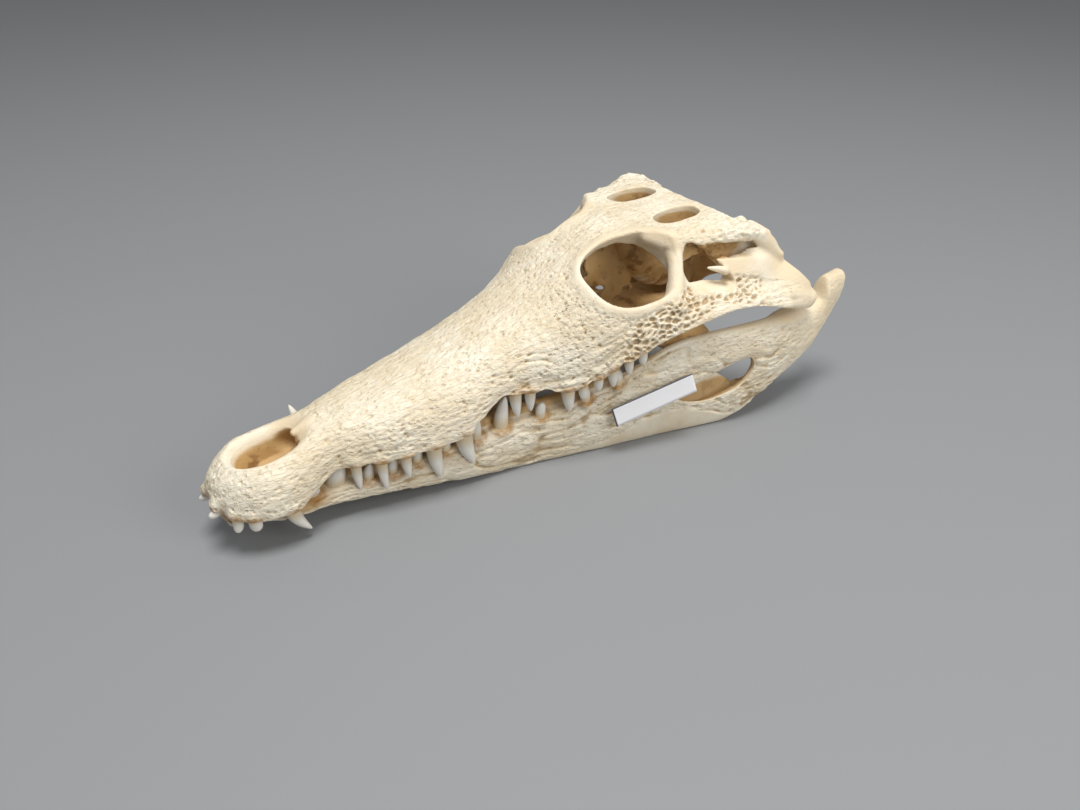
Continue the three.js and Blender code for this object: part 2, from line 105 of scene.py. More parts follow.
# (place along the jaw, crown length, radius, lean back, lean out) of each tooth
UPPER_TEETH = [
    (1.8, 1.8, 1.6, -3.8, 0.4), (5.8, 5.8, 1.8, -0.8, 1), (10.5, 5, 2.2, 0, 1),
    (22.5, 11.5, 2.6, 5.4, 0.5), (46.8, 11, 1.9, 0.4, 1), (55.2, 12.5, 2, 0.5, 1), (63.5, 10, 2, 0.5, 1),
    (74, 14.5, 2.9, 1.5, 1), (85.5, 14.5, 3.3, 3, 1.5), (107, 11.5, 2.4, 0.5, 1),
    (112.5, 9.5, 2.2, 0, 0.5), (126.5, 10.5, 2.8, 0.5, 1), (131.5, 7, 2, 0, 0.5), (137, 6.5, 2, 0, 0.5),
    (142.3, 9, 2.3, 0.5, 0.5), (148, 7.5, 2, 0.4, 0.5), (153, 6.5, 1.9, 0.2, 0.5),
]
LOWER_TEETH = [
    (6, 3.6, 1.4, -0.5, -0.5), (13, 4, 1.4, -1, 0.5), (21, 4, 1.4, 0, 0), (31.6, 3.6, 2.4, 0.5, 2.6),
    (51.5, 7.4, 2.1, 0.5, 1.6), (60, 7, 2.1, 0.4, 1.4), (69.1, 7.2, 2.1, 0, 1.4),
    (79.6, 7.6, 2.1, 0.2, 1.4), (91.5, 9, 2.1, 0.5, 0.5), (102, 13, 2.9, 1.5, 1), (117, 6, 2, 0, 0.5),
    (134, 6, 2, 0, 0), (146, 6, 1.9, 0, 0),
]
HIDDEN_LOWER_TEETH = 4  # how many of them the snout's tip covers
RIGHT_NOTCH_TOOTH = (39, 22.5, 3, -3.8, 5.8)
LEFT_NOTCH_TOOTH = (40.6, 8.6, 3.7, 2.8, 1)
NOTCH_OPENING = 3.5  # how much wider to the side the right one's notch is than its tooth
TOOTH_CLEARANCE = 0.4
ROOT_INSET = 1  # from the side of a jaw to the widest part of its teeth


def at(knots, x):
    """A smooth curve through the knots: cubic pieces whose slopes come from each knot's neighbours."""
    place, value = np.array(knots, float).T
    slope = np.empty_like(value)
    slope[1:-1] = (value[2:] - value[:-2]) / (place[2:] - place[:-2])
    slope[0] = (value[1] - value[0]) / (place[1] - place[0])
    slope[-1] = (value[-1] - value[-2]) / (place[-1] - place[-2])
    x = np.clip(np.asarray(x, float), place[0], place[-1])
    i = np.clip(np.searchsorted(place, x, side="right") - 1, 0, len(place) - 2)
    span = place[i + 1] - place[i]
    t = (x - place[i]) / span
    s = 1 - t
    start = value[i] * (1 + 2 * t) + slope[i] * span * t
    end = value[i + 1] * (1 + 2 * s) - slope[i + 1] * span * s
    return (start * s * s + end * t * t).astype(np.float32)


def lower(a, b, fillet):
    """The lower of two fields, with the crease between them rounded: min(a, b) - h^2 * fillet / 4,
    where h falls from 1 to 0 as the fields come to differ by the fillet."""
    h = np.maximum(fillet - np.abs(a - b), 0) / fillet
    return np.minimum(a, b) - h * h * (fillet / 4)


def higher(a, b, fillet):
    """The higher of two fields, with the crease between them rounded in the same way."""
    return -lower(-a, -b, fillet)


def smooth(value, low, high):
    """0 below low, 1 above high and 3t^2 - 2t^3 between; low may lie above high."""
    t = np.clip((value - low) / (high - low), 0, 1)
    return t * t * (3 - 2 * t)


# ---------- shapes: two corners of their box, and a function of the distance to their surface ----------
def finer(places, pieces=4):
    """The places with a smooth curve through them (Catmull-Rom), in pieces between each two."""
    p = np.array(places, float)
    p = np.concatenate([2 * p[:1] - p[1:2], p, 2 * p[-1:] - p[-2:-1]])
    t = (np.arange(pieces) / pieces)[None, :, None]
    a, b, c, d = (p[i:len(p) - 3 + i][:, None] for i in range(4))
    curve = 0.5 * (2 * b + (c - a) * t + (2 * a - 5 * b + 4 * c - d) * t**2 + (3 * b - a - 3 * c + d) * t**3)
    return np.concatenate([curve.reshape(-1, p.shape[1]), p[-2:-1]])


def nearest_on(path, x, y, z):
    """For each point, the place along the path of its nearest point, counted in steps of the path."""
    nearest = share = None
    for i, (start, run) in enumerate(zip(path[:-1], np.diff(path, axis=0))):
        (sx, sy, sz), (rx, ry, rz) = start.astype(np.float32), run.astype(np.float32)
        t = np.clip(((x - sx) * rx + (y - sy) * ry + (z - sz) * rz) / max(run @ run, 1e-9), 0, 1)
        away = (x - sx - t * rx) ** 2 + (y - sy - t * ry) ** 2 + (z - sz - t * rz) ** 2
        if nearest is None:
            nearest, share = away, t
        else:
            share = np.where(away < nearest, t + i, share)
            nearest = np.minimum(away, nearest)
    return share, nearest


def sweep(sections, roundness=2.0, cap=1.5):
    """Oval sections (centre, half axis a, half axis b) carried along a smooth path. With u and v the shares
    of the half axes and w the share of the cap past an end, r = (|u|^n + |v|^n + |w|^n)^(1/n) is 1 on the
    surface. The distance is |q| * (1 - 1 / r), where q runs from the nearest place on the path."""
    sections = finer([np.concatenate(s) for s in sections])
    centre, a, b = sections[:, :3], sections[:, 3:6], sections[:, 6:]
    ahead = np.gradient(centre, axis=0)
    ahead /= np.linalg.norm(ahead, axis=1, keepdims=True)
    a, b = (axis - (axis * ahead).sum(1, keepdims=True) * ahead for axis in (a, b))
    reach = np.abs(a).max(0) + np.abs(b).max(0) + cap

    def distance(x, y, z):
        share, _ = nearest_on(centre, x, y, z)
        steps = np.arange(len(sections))
        c, da, db, forward = (
            [np.interp(share, steps, part[:, i]).astype(np.float32) for i in range(3)]
            for part in (centre, a, b, ahead)
        )
        q = [x - c[0], y - c[1], z - c[2]]
        u = sum(i * j for i, j in zip(q, da)) / sum(i * i for i in da)
        v = sum(i * j for i, j in zip(q, db)) / sum(i * i for i in db)
        w = sum(i * j for i, j in zip(q, forward)) / cap
        r = sum(np.abs(i) ** roundness for i in (u, v, w)) ** (1 / roundness)
        return np.sqrt(sum(i * i for i in q)) * (1 - 1 / np.maximum(r, 1e-3))

    return centre.min(0) - reach, centre.max(0) + reach, distance


def rod(places):
    """A round rod along a smooth path of (x, y, z, radius): the distance to the path less its radius."""
    places = finer(places, 3)
    radius = places[:, 3]

    def distance(x, y, z):
        share, away = nearest_on(places[:, :3], x, y, z)
        return np.sqrt(away) - np.interp(share, np.arange(len(radius)), radius).astype(np.float32)

    return places[:, :3].min(0) - radius.max(), places[:, :3].max(0) + radius.max(), distance


def ball(centre, radii):
    """An ellipsoid: |q| * (1 - 1 / r), where r is the length of q in shares of the radii."""
    centre, radii = np.array(centre, float), np.array(radii, float)

    def distance(x, y, z):
        q = [axis - np.float32(c) for axis, c in zip((x, y, z), centre)]
        r = np.sqrt(sum((i / np.float32(k)) ** 2 for i, k in zip(q, radii)))
        return np.sqrt(sum(i * i for i in q)) * (1 - 1 / np.maximum(r, 1e-3))

    return centre - radii, centre + radii, distance


def loop_window(corners, near, far, rise=0.0):
    """A window with a smooth outline through (x, z) corners, from y = near to far, where it lies higher by
    rise: the signed distance to the outline, or to the ends if they are farther."""
    corners = np.array(corners, float)
    pieces = 5
    closed = np.concatenate([corners[-2:], corners, corners[:2]])
    outline = finer(closed, pieces)[2 * pieces:][: pieces * len(corners)]
    low = [outline[:, 0].min(), near, outline[:, 1].min() - abs(rise)]
    high = [outline[:, 0].max(), far, outline[:, 1].max() + abs(rise)]

    def distance(x, y, z):
        z = z - rise * (y - near) / (far - near)
        away, inside = None, False
        for (ax, az), (bx, bz) in zip(outline, np.roll(outline, -1, 0)):
            rx, rz = bx - ax, bz - az
            t = np.clip(((x - ax) * rx + (z - az) * rz) / (rx * rx + rz * rz), 0, 1)
            gap = (x - ax - t * rx) ** 2 + (z - az - t * rz) ** 2
            away = gap if away is None else np.minimum(away, gap)
            crosses = (z < az) != (z < bz)
            inside = inside ^ (crosses & (x < ax + (z - az) * rx / (rz if rz else 1e-9)))
        flat = np.where(inside, -1, 1) * np.sqrt(away)
        return np.maximum(flat, np.maximum(near - y, y - far)).astype(np.float32)

    return np.array(low), np.array(high), distance


class Bone:
    """A field on a grid: about the distance to the surface in millimetres, below zero inside the bone."""

    def __init__(self, low, high):
        self.axes = [np.arange(a, b, STEP, dtype=np.float32) for a, b in zip(low, high)]
        self.low = np.array(low, float)
        self.field = np.full([len(axis) for axis in self.axes], AIR, np.float32)

    def near(self, low, high):
        """The slices of the grid between two corners, and the x, y and z of its points there."""
        where = tuple(slice(*np.searchsorted(axis, ends)) for axis, ends in zip(self.axes, zip(low, high)))
        return where, np.ix_(*(axis[part] for axis, part in zip(self.axes, where)))

    def change(self, shape, fillet, how):
        """Blend a shape's distance into the field round it, by how."""
        low, high, distance = shape
        margin = fillet + 2 * STEP
        where, points = self.near(low - margin, high + margin)
        if all(len(axis.ravel()) for axis in points):
            self.field[where] = how(self.field[where], distance(*points), fillet)

    def join(self, shape, fillet):
        """Add a shape: the lower of the field and its distance."""
        self.change(shape, fillet, lower)

    def cut(self, shape, fillet):
        """Take a shape away: the higher of the field and its distance with the sign turned."""
        self.change(shape, fillet, lambda field, tool, f: higher(field, -tool, f))

    def mirror(self):
        """The half from y = 0 outwards becomes the whole."""
        self.field = np.concatenate([self.field[:, :0:-1], self.field], 1)
        self.axes[1] = np.concatenate([-self.axes[1][:0:-1], self.axes[1]])
        self.low[1] = self.axes[1][0]


def mirrored(shape):
    """The shape on the other side of y = 0."""
    low, high, distance = shape
    low, high = np.sort([low * (1, -1, 1), high * (1, -1, 1)], 0)
    return low, high, lambda x, y, z: distance(x, -y, z)


def moved(shape, by):
    """The shape moved by three lengths."""
    low, high, distance = shape
    dx, dy, dz = by
    return low + by, high + by, lambda x, y, z: distance(x - dx, y - dy, z - dz)


# ---------- the cranium ----------
def head_outside(x, y, z, inset=0.0):
    """The outer form of the head: over the tooth line each section is r = (|y/w|^n + (h/rise)^n)^(1/n) = 1,
    with h the height over that line, and the distance is |q| * (1 - 1 / r) for q = (y, h)."""
    w = at(HALF_WIDTH, x) - inset
    low = at(TOOTH_LINE, x)
    rise = at(TOP, x) - inset - low
    n = at(ROUNDNESS, x)
    h = np.maximum(z - low, 0)
    r = ((np.abs(y) / w) ** n + (h / rise) ** n) ** (1 / n)
    return np.sqrt(y * y + h * h) * (1 - 1 / np.maximum(r, 1e-3))


def head_solid(x, y, z):
    """The head with a palate arched from side to side, h = rise * (1 - (y/w)^2), and a sloping back."""
    palate = at(TOOTH_LINE, x) + PALATE_RISE * (1 - np.minimum(np.abs(y) / at(HALF_WIDTH, x), 1) ** 2)
    form = higher(head_outside(x, y, z), palate - z, 2.0)
    form = higher(form, -x, 2.0)
    behind = TABLE_REAR + (TABLE_HEIGHT - np.maximum(z, 56)) * 1.05
    return higher(form, (x - behind) * 0.7, 1.5)


def chamber(x, y, z):
    """The hollow behind the snout: the outer form less the shell, between its front and rear."""
    form = head_outside(x, y, z, SHELL)
    return higher(higher(form, 129 - x, 6.0), x - 224, 2.0)


ORBIT = sweep([
    ([151.6, 13.5, 56.4], [15, 0, 2], [0, 9.6, -7.4]),
    ([154, 23.2, 70.8], [16, 0, 3], [0, 11.4, -8.4]),
    ([156.4, 37.6, 91.4], [17.4, 0, 4], [0, 13.2, -9.6]),
], 2.4)
UPPER_TEMPLE_WINDOW = sweep([
    ([185, 13, 58], [9, 1.5, 0], [0, 5, 0]),
    ([185.6, 13.6, 92], [10.3, 2, 0], [0, 6, 0]),
], 2.6)
LOWER_TEMPLE_WINDOW = loop_window(
    [(175.5, 68), (184, 66.4), (191.5, 66), (193.5, 68), (189, 73.5), (182.5, 79.5), (176, 80)], 24, 46, -4)
NOSTRIL = sweep([
    ([22.5, 0, 23.5], [9, 0, 0], [0, 6.5, 0]),
    ([21, 0, 31], [11.5, 0, 0], [0, 8.3, 0]),
    ([20.5, 0, 37], [16, 0, 0], [0, 13, 0]),
], 2.2)

TABLE = sweep([
    ([152, 0, 77], [0, 9, 0], [0, 0, 1]),
    ([160, 0, 79.5], [0, 17, 0], [0, 0, 2.4]),
    ([167, 0, 80.6], [0, 25, 0], [0, 0, 3]),
    ([186, 0, 81.6], [0, 29, 0], [0, 0, 3.2]),
    ([198, 0, 82], [0, 33.5, 0], [0, 0, 3.2]),
    ([TABLE_REAR, 0, 81.8], [0, 34.5, 0], [0, 0, 3.2]),
    ([TABLE_REAR + 4, 0, 82.2], [0, 24, 0], [0, 0, 3]),
    ([TABLE_REAR + 7, 0, 82], [0, 13, 0], [0, 0, 2.6]),
], 4.5)
TABLE_EDGE = rod([
    (167, 18, 80.4, 2), (173, 24.4, 79, 3), (182, 28.2, 79.2, 3.2), (193, 31.8, 79.8, 3.2),
    (203, 34, 80, 3.4),
])
OTIC_WALL = sweep([
    ([178, 23.6, 75.5], [0, 0, 6], [0, 1.6, 0]),
    ([194, 26.5, 75.5], [0, 0, 7], [0, 1.6, 0]),
    ([208, 29.4, 75], [0, 0, 7], [0, 1.8, 0]),
    ([216, 32, 73], [0, 0, 5], [0, 2, 0]),
], 2.4)
OTIC_GROOVE = rod([
    (178, 31, 76.4, 1), (184, 32, 75.6, 2.2), (192, 33.6, 75.2, 3), (200, 35.6, 74.6, 2.9),
    (207, 37.6, 73.2, 2.2), (214, 39.6, 70.4, 1.2),
])
QUADRATE_ROOF = sweep([
    ([183, 33, 70.5], [0, -2.5, 5], [0, 1.3, 0.6]),
    ([196, 36.4, 69], [0, -3.2, 6.4], [0, 1.6, 0.8]),
    ([208, 38, 66], [0, -3.3, 7], [0, 1.8, 0.9]),
    ([219, 38.6, 60], [0, -2.4, 6], [0, 2, 1]),
], 2.4)
POSTORBITAL_BAR = rod([
    (175, 24, 78.6, 3.2), (172.6, 28, 75, 2.7), (170.6, 31.2, 70.6, 2.6), (168.8, 34.2, 65.5, 2.9),
    (167, 37.2, 61, 4.4),
])
BRAINCASE = sweep([
    ([166, 0, 77], [0, 5, 0], [0, 0, 3]),
    ([176, 0, 70], [0, 7, 0], [0, 0, 10]),
    ([188, 0, 66], [0, 9.5, 0], [0, 0, 16]),
    ([202, 0, 66], [0, 13, 0], [0, 0, 15]),
], 2.4)
PAROCCIPITAL = sweep([
    ([199, 0, 72.5], [0, 0, 9], [3, 0, 0]),
    ([203, 16, 72], [0, 0, 8], [3, 0, 0]),
    ([211, 29, 69.5], [0, 0, 6.5], [3, 0, 0]),
    ([220.4, 36, 66], [0, 1, 4], [2.6, 0, 0]),
], 2.4)
EXOCCIPITAL = sweep([
    ([202.4, 0, 45], [0.6, 9, 0], [2.2, -0.1, 0]),
    ([202.6, 0, 52], [1.4, 13, 0], [2.2, -0.2, 0]),
    ([202.6, 0, 56], [2.4, 16.6, 0], [2.2, -0.3, 0]),
    ([202.6, 0, 58.4], [4.6, 25, 0], [2.2, -0.4, 0]),
    ([202.6, 0, 62], [5.6, 29, 0], [2.2, -0.4, 0]),
    ([202.6, 0, 76], [5.6, 29, 0], [2.2, -0.4, 0]),
], 2.6)
SQUAMOSAL_HORN = sweep([
    ([200, 30, 81], [0, 4, 0], [0, 0, 3]),
    ([208, 33, 79], [0, 3, 0], [1, 0, 3]),
    ([215, 35, 73], [0, 2.4, 0], [2, 0, 3]),
    ([220, 35.2, 67], [0, 2.2, 0], [2.4, 0, 1.6]),
], 2.2)
BASIOCCIPITAL = sweep([
    ([200, 0, 62], [0, 9, 0], [3.5, 0, 0]),
    ([199, 0, 50], [0, 11, 0], [3, 0, 0]),
    ([197, 0, 40], [0, 8, 0], [2.4, 0, 0]),
], 2.6)
PALATINE_BAR = sweep([
    ([100, 0, 38.5], [0, 8.5, 0], [0, 0, 2.5]),
    ([122, 0, 40], [0, 7.2, 0], [0, 0, 4]),
    ([150, 0, 42], [0, 6.5, 0], [0, 0, 4.4]),
    ([168, 0, 43], [0, 8, 0], [0, 0, 4]),
    ([184, 0, 44], [0, 12, 0], [0, 0, 3.4]),
    ([199, 0, 44], [0, 10, 0], [0, 0, 4]),
], 2.6)
WING = sweep([
    ([184, 2, 43.5], [15, 0, 0], [0, 0.4, 2.2]),
    ([185, 14, 41.5], [12.5, 0, 0], [0, 0.6, 1.7]),
    ([186, 24.5, 36.5], [12.5, 0, 0], [0, 0.9, 1.6]),
    ([187, 30.5, 31], [12, 0, -2], [0, 1.4, 2]),
], 2.6)
ECTOPTERYGOID = rod([(184, 29, 33, 3), (174, 28.6, 39, 3), (164, 31, 46, 3.2), (154, 35.5, 51, 4)])
ORBIT_PILLAR = rod([(135, 10, 66, 3), (134, 8, 56, 2.2), (133, 6.5, 42, 3)])
BETWEEN_THE_ARMS = sweep([
    ([TABLE_REAR - 2, 0, 50], [0, 28, 0], [0, 0, 60]),
    ([CRANIUM_END + 9, 0, 50], [0, 33, 0], [0, 0, 60]),
], 8)
NOSTRIL_PASSAGE = ball([30, 4.4, 28.5], [5.5, 3.4, 4.2])
NASAL_SPIKE = rod([(41, 0, 36.6, 2.6), (36, 0, 35.6, 2.0), (31.5, 0, 34.2, 1.3)])
NOSTRIL_RIDGE = rod([(10, 0, 24.5, 1.4), (20, 0, 23.6, 1.3), (31, 0, 26, 1.2)])
PALATE_WINDOW = ball([126, 15.5, 36], [18, 7.5, 9])
QUADRATE_END = sweep([
    ([219, 40, 54], [0, 8.3, 0], [0, 0, 5]),
    ([228, 40, 50.5], [0, 8.5, 0], [0, 0, 4.6]),
], 2.6)
OUTER_CONDYLE = ball([231.5, 44.3, 49.8], [5, 4.4, 4])
INNER_CONDYLE = ball([231, 35.6, 49], [5, 4.2, 3.8])
OCCIPITAL_CONDYLE = ball([206.6, 0, 61], [5.6, 5, 4.6])
SPINAL_OPENING = sweep([([212, 0, 71], [0, 5.4, 0], [0, 0, 4.4]), ([192, 0, 69], [0, 4, 0], [0, 0, 3.4])], 2)
REAR_NOSTRIL = ball([196, 0, 39], [7, 3.6, 4])
INCISIVE_OPENING = ball([22, 0, 18], [5, 3.2, 6])
TEMPLE_SPIKE = rod([(189.5, 38.2, 69.4, 1.7), (186.5, 36.6, 70.2, 1.2), (183.5, 35.2, 70.8, 0.5)])


def tooth_path(x, side, height, length, lean, t):
    """Places on the line of a tooth: it runs down the crown's length and bends by its lean times t|t|."""
    bend = t * np.abs(t)
    return np.stack([x + lean[0] * bend, side + lean[1] * bend, height - length * t], -1)


def upper_root(tooth):
    """Where an upper tooth stands: its x, side and height, then its length downwards, radius and lean."""
    x, length, radius, *lean = tooth
    return x, at(HALF_WIDTH, x) - radius - ROOT_INSET, at(TOOTH_LINE, x) + 0.5, length, radius, lean


def lower_root(tooth):
    """The same for a lower tooth, whose length downwards is below zero."""
    x, length, radius, *lean = tooth
    return x, at(JAW_OUTER, x) - radius - ROOT_INSET, at(JAW_TOP, x) - 0.8, -length, radius, lean


def socket(root, grown):
    """The crown of a tooth grown all round, as a rod that narrows to its tip."""
    x, side, height, length, radius, lean = root
    t = np.array([-0.3, 0, 0.5, 1])
    places = tooth_path(x, side, height, length, lean, t)
    return rod(np.column_stack([places, radius * np.array([0.9, 0.95, 0.7, 0.15]) + grown]))


SEPTUM = [
    (134, 60), (138, 70), (150, 78), (168, 82), (180, 80), (182, 60), (176, 50), (160, 46), (142, 46),
    (134, 50),
]


def septum(x, y, z):
    """The dried wall between the eye sockets: a crumpled sheet in an outline, torn where noise is high."""
    outline = loop_window(SEPTUM, -9, 9)[2](x, 0 * y, z)
    shape = np.broadcast_shapes(x.shape, z.shape)
    flat = np.stack([np.broadcast_to(axis, shape).ravel() for axis in (x, 0 * x, z)], 1)
    torn = noise(flat / 7.5, 91).reshape(shape) + 0.4 * noise(flat / 3, 92).reshape(shape)
    crumple = 1.4 * noise(flat / 9, 93).reshape(shape)
    return higher(higher(np.abs(y - crumple) - 0.75, outline, 0.8), (torn - 0.5) * 6, 0.8)


def cranium_bone():
    """Everything above the bite, on one side and then mirrored: the head, a boss round each upper tooth, a
    scallop over each lower one, then what is cut from it and joined to it."""
    bone = Bone([-3, 0, 11], [240, 53, 90])
    bone.field = head_solid(*np.ix_(*bone.axes))
    for tooth in UPPER_TEETH:
        px, side, height, _, radius, _ = upper_root(tooth)
        bone.join(ball([px, side, height + 1.6], [radius + 1.3, radius + 1.0, 2.6]), 2.0)
    for tooth in LOWER_TEETH[HIDDEN_LOWER_TEETH:]:
        px, side, _, _, radius, _ = lower_root(tooth)
        bone.cut(ball([px, side + 1.5, at(TOOTH_LINE, px) - 1.6], [radius + 1.4, 6, 3.4]), 1.2)
    bone.join(TABLE, 2.0)
    where, points = bone.near([120, 0, 11], [228, 53, 90])
    bone.field[where] = higher(bone.field[where], -chamber(*points), 2.0)
    bone.cut(BETWEEN_THE_ARMS, 1.5)
    bone.cut(NOSTRIL, 2.6)
    bone.cut(NOSTRIL_PASSAGE, 1.5)
    bone.join(NASAL_SPIKE, 2.2)
    bone.join(NOSTRIL_RIDGE, 2.0)
    bone.cut(ORBIT, 1.4)
    bone.join(TABLE_EDGE, 3.0)
    bone.join(QUADRATE_ROOF, 2.0)
    bone.join(OTIC_WALL, 1.5)
    bone.cut(UPPER_TEMPLE_WINDOW, 1.6)
    bone.cut(LOWER_TEMPLE_WINDOW, 1.4)
    bone.cut(PALATE_WINDOW, 1.5)
    bone.join(POSTORBITAL_BAR, 2.5)
    bone.join(QUADRATE_END, 2.0)
    bone.join(OUTER_CONDYLE, 1.5)
    bone.join(INNER_CONDYLE, 1.5)
    bone.join(BRAINCASE, 3.0)
    bone.join(PAROCCIPITAL, 2.0)
    bone.join(EXOCCIPITAL, 2.5)
    bone.join(SQUAMOSAL_HORN, 2.5)
    bone.join(BASIOCCIPITAL, 2.0)
    bone.join(PALATINE_BAR, 2.0)
    bone.join(WING, 2.0)
    bone.join(ECTOPTERYGOID, 2.5)
    bone.join(ORBIT_PILLAR, 2.5)
    bone.join(OCCIPITAL_CONDYLE, 1.5)
    bone.cut(SPINAL_OPENING, 1.2)
    bone.cut(REAR_NOSTRIL, 1.2)
    bone.cut(INCISIVE_OPENING, 1.5)
    bone.join(TEMPLE_SPIKE, 1.2)
    bone.cut(OTIC_GROOVE, 1.2)
    bone.mirror()
    bone.join((np.array([130, -6, 44]), np.array([184, 6, 84]), septum), 1.5)
    right_notch = socket(lower_root(RIGHT_NOTCH_TOOTH), TOOTH_CLEARANCE + 0.3)
    bone.cut(right_notch, 0.8)
    bone.cut(moved(right_notch, (0, NOTCH_OPENING, 0)), 0.8)
    bone.cut(mirrored(socket(lower_root(LEFT_NOTCH_TOOTH), TOOTH_CLEARANCE)), 0.8)
    return bone


# ---------- the lower jaw ----------
def jaw_outside(x, y, z):
    """Each section is a leaning oval between the inner and outer faces, the bottom and the top."""
    inner, outer, low, high, lean = (at(k, x) for k in (JAW_INNER, JAW_OUTER, JAW_BOTTOM, JAW_TOP, JAW_LEAN))
    up = (high - low) / 2
    v = (z - (low + high) / 2) / up
    middle = (inner + outer) / 2 + lean / 2 * (np.clip(v, -1.3, 1.3) - 1)
    u = (y - middle) / ((outer - inner) / 2)
    n = 2 / 0.75
    r = (np.abs(u) ** n + np.abs(v) ** n) ** (1 / n)
    return np.sqrt((y - middle) ** 2 + (v * up) ** 2) * (1 - 1 / np.maximum(r, 1e-3))


JAW_WINDOW = loop_window(
    [(172, 19.5), (181, 24.6), (191, 29), (201, 31.8), (205.4, 28.6), (205, 23.5), (199, 17.8), (188, 14.4),
     (178, 15.6)], 37.5, 60)
JAW_HOLLOW = sweep([
    ([160, 31, 24], [0, 1.4, 0], [0, 1, 5]),
    ([172, 35, 24], [0, 2.2, 0], [0, 2, 11]),
    ([186, 38, 26], [0, 2.8, 0], [0, 2, 13]),
    ([200, 40.5, 29], [0, 2.6, 0], [0, 1, 12]),
    ([210, 40.6, 26], [0, 2.3, 0], [0, 1, 9]),
    ([219, 40.4, 25], [0, 1.8, 0], [0, 0, 4]),
], 2.6)
JAW_INNER_MOUTH = loop_window(
    [(181, 34), (186, 40), (199, 42), (210, 36), (217, 24), (215.4, 16), (209.5, 13.2), (205, 14.8),
     (199, 19.2), (193, 23.8), (187, 29)], 20, 39.2)

NERVE_OPENING = rod([(154.5, 35.6, 34.4, 0.6), (159.5, 37.4, 33.8, 1.1), (166, 39.4, 33.6, 0.5)])
OUTER_SOCKET = ball([232, 44, 49.5], [6, 5, 4.6])
INNER_SOCKET = ball([231.5, 35.4, 48.6], [6, 5, 4.4])
INNER_GROOVE = rod([(60, 6.6, 12, 1.2), (90, 10.6, 11.5, 1.8), (130, 20, 13, 2.2), (160, 29, 20, 2.6)])
LARGE_TOOTH = 2.5  # an upper tooth of a larger radius has a pit in the lower jaw


def jaw_bone():
    """The right half of the lower jaw: its outside, with a ridge under the teeth and a boss at each one, then
    its window, hollow, openings, joint sockets, and pits for the largest upper teeth."""
    bone = Bone([0, -2, -2.5], [264, 53, 60])
    x, y, z = np.ix_(*bone.axes)
    form = higher(jaw_outside(x, y, z), 2 - x, 2.5)
    form = higher(form, x - JAW_END, 1.6)
    ridge_top = np.minimum(at(TOOTH_LINE, x) - 1.2, at(JAW_TOP, x) + 3.4)
    ridge = higher(np.abs(y - at(JAW_OUTER, x) + 7.6) - 2.3, np.abs(z - ridge_top + 5) - 5, 2.4)
    ridge = higher(ridge, np.abs(x - 92) - 56, 4.0)
    bone.field = lower(form, ridge, 2.5)
    for tooth in LOWER_TEETH:
        px, side, height, _, radius, _ = lower_root(tooth)
        bone.join(ball([px, side, height - 2.0], [radius + 1.1, radius + 0.8, 2.4]), 1.8)
    bone.cut(JAW_WINDOW, 1.4)
    bone.cut(JAW_HOLLOW, 1.2)
    bone.cut(JAW_INNER_MOUTH, 1.4)
    bone.cut(NERVE_OPENING, 0.8)
    bone.cut(OUTER_SOCKET, 1.5)
    bone.cut(INNER_SOCKET, 1.5)
    bone.cut(INNER_GROOVE, 2.0)
    for tooth in UPPER_TEETH:
        if tooth[2] > LARGE_TOOTH:
            bone.cut(socket(upper_root(tooth), TOOTH_CLEARANCE), 0.8)
    bone.field = higher(bone.field, JAW_GAP - y + 0 * bone.field, 0.3)
    bone.field = higher(bone.field, -z + 0 * bone.field, 0.4)
    return bone


# ---------- meshes from fields ----------
CORNERS = np.array([(i, j, k) for i in (0, 1) for j in (0, 1) for k in (0, 1)])


def read_field(field, places):
    """The field and its slope at places in grid steps, between the eight grid points round each."""
    base = np.clip(np.floor(places).astype(int), 0, np.array(field.shape) - 2)
    t = places - base
    value = np.zeros(len(places))
    slope = np.zeros((len(places), 3))
    for corner in CORNERS:
        f = field[tuple((base + corner).T)]
        share = np.where(corner, t, 1 - t)
        sign = np.where(corner, 1, -1)
        value += f * share.prod(1)
        for axis in range(3):
            slope[:, axis] += f * sign[axis] * np.delete(share, axis, 1).prod(1)
    return value, slope


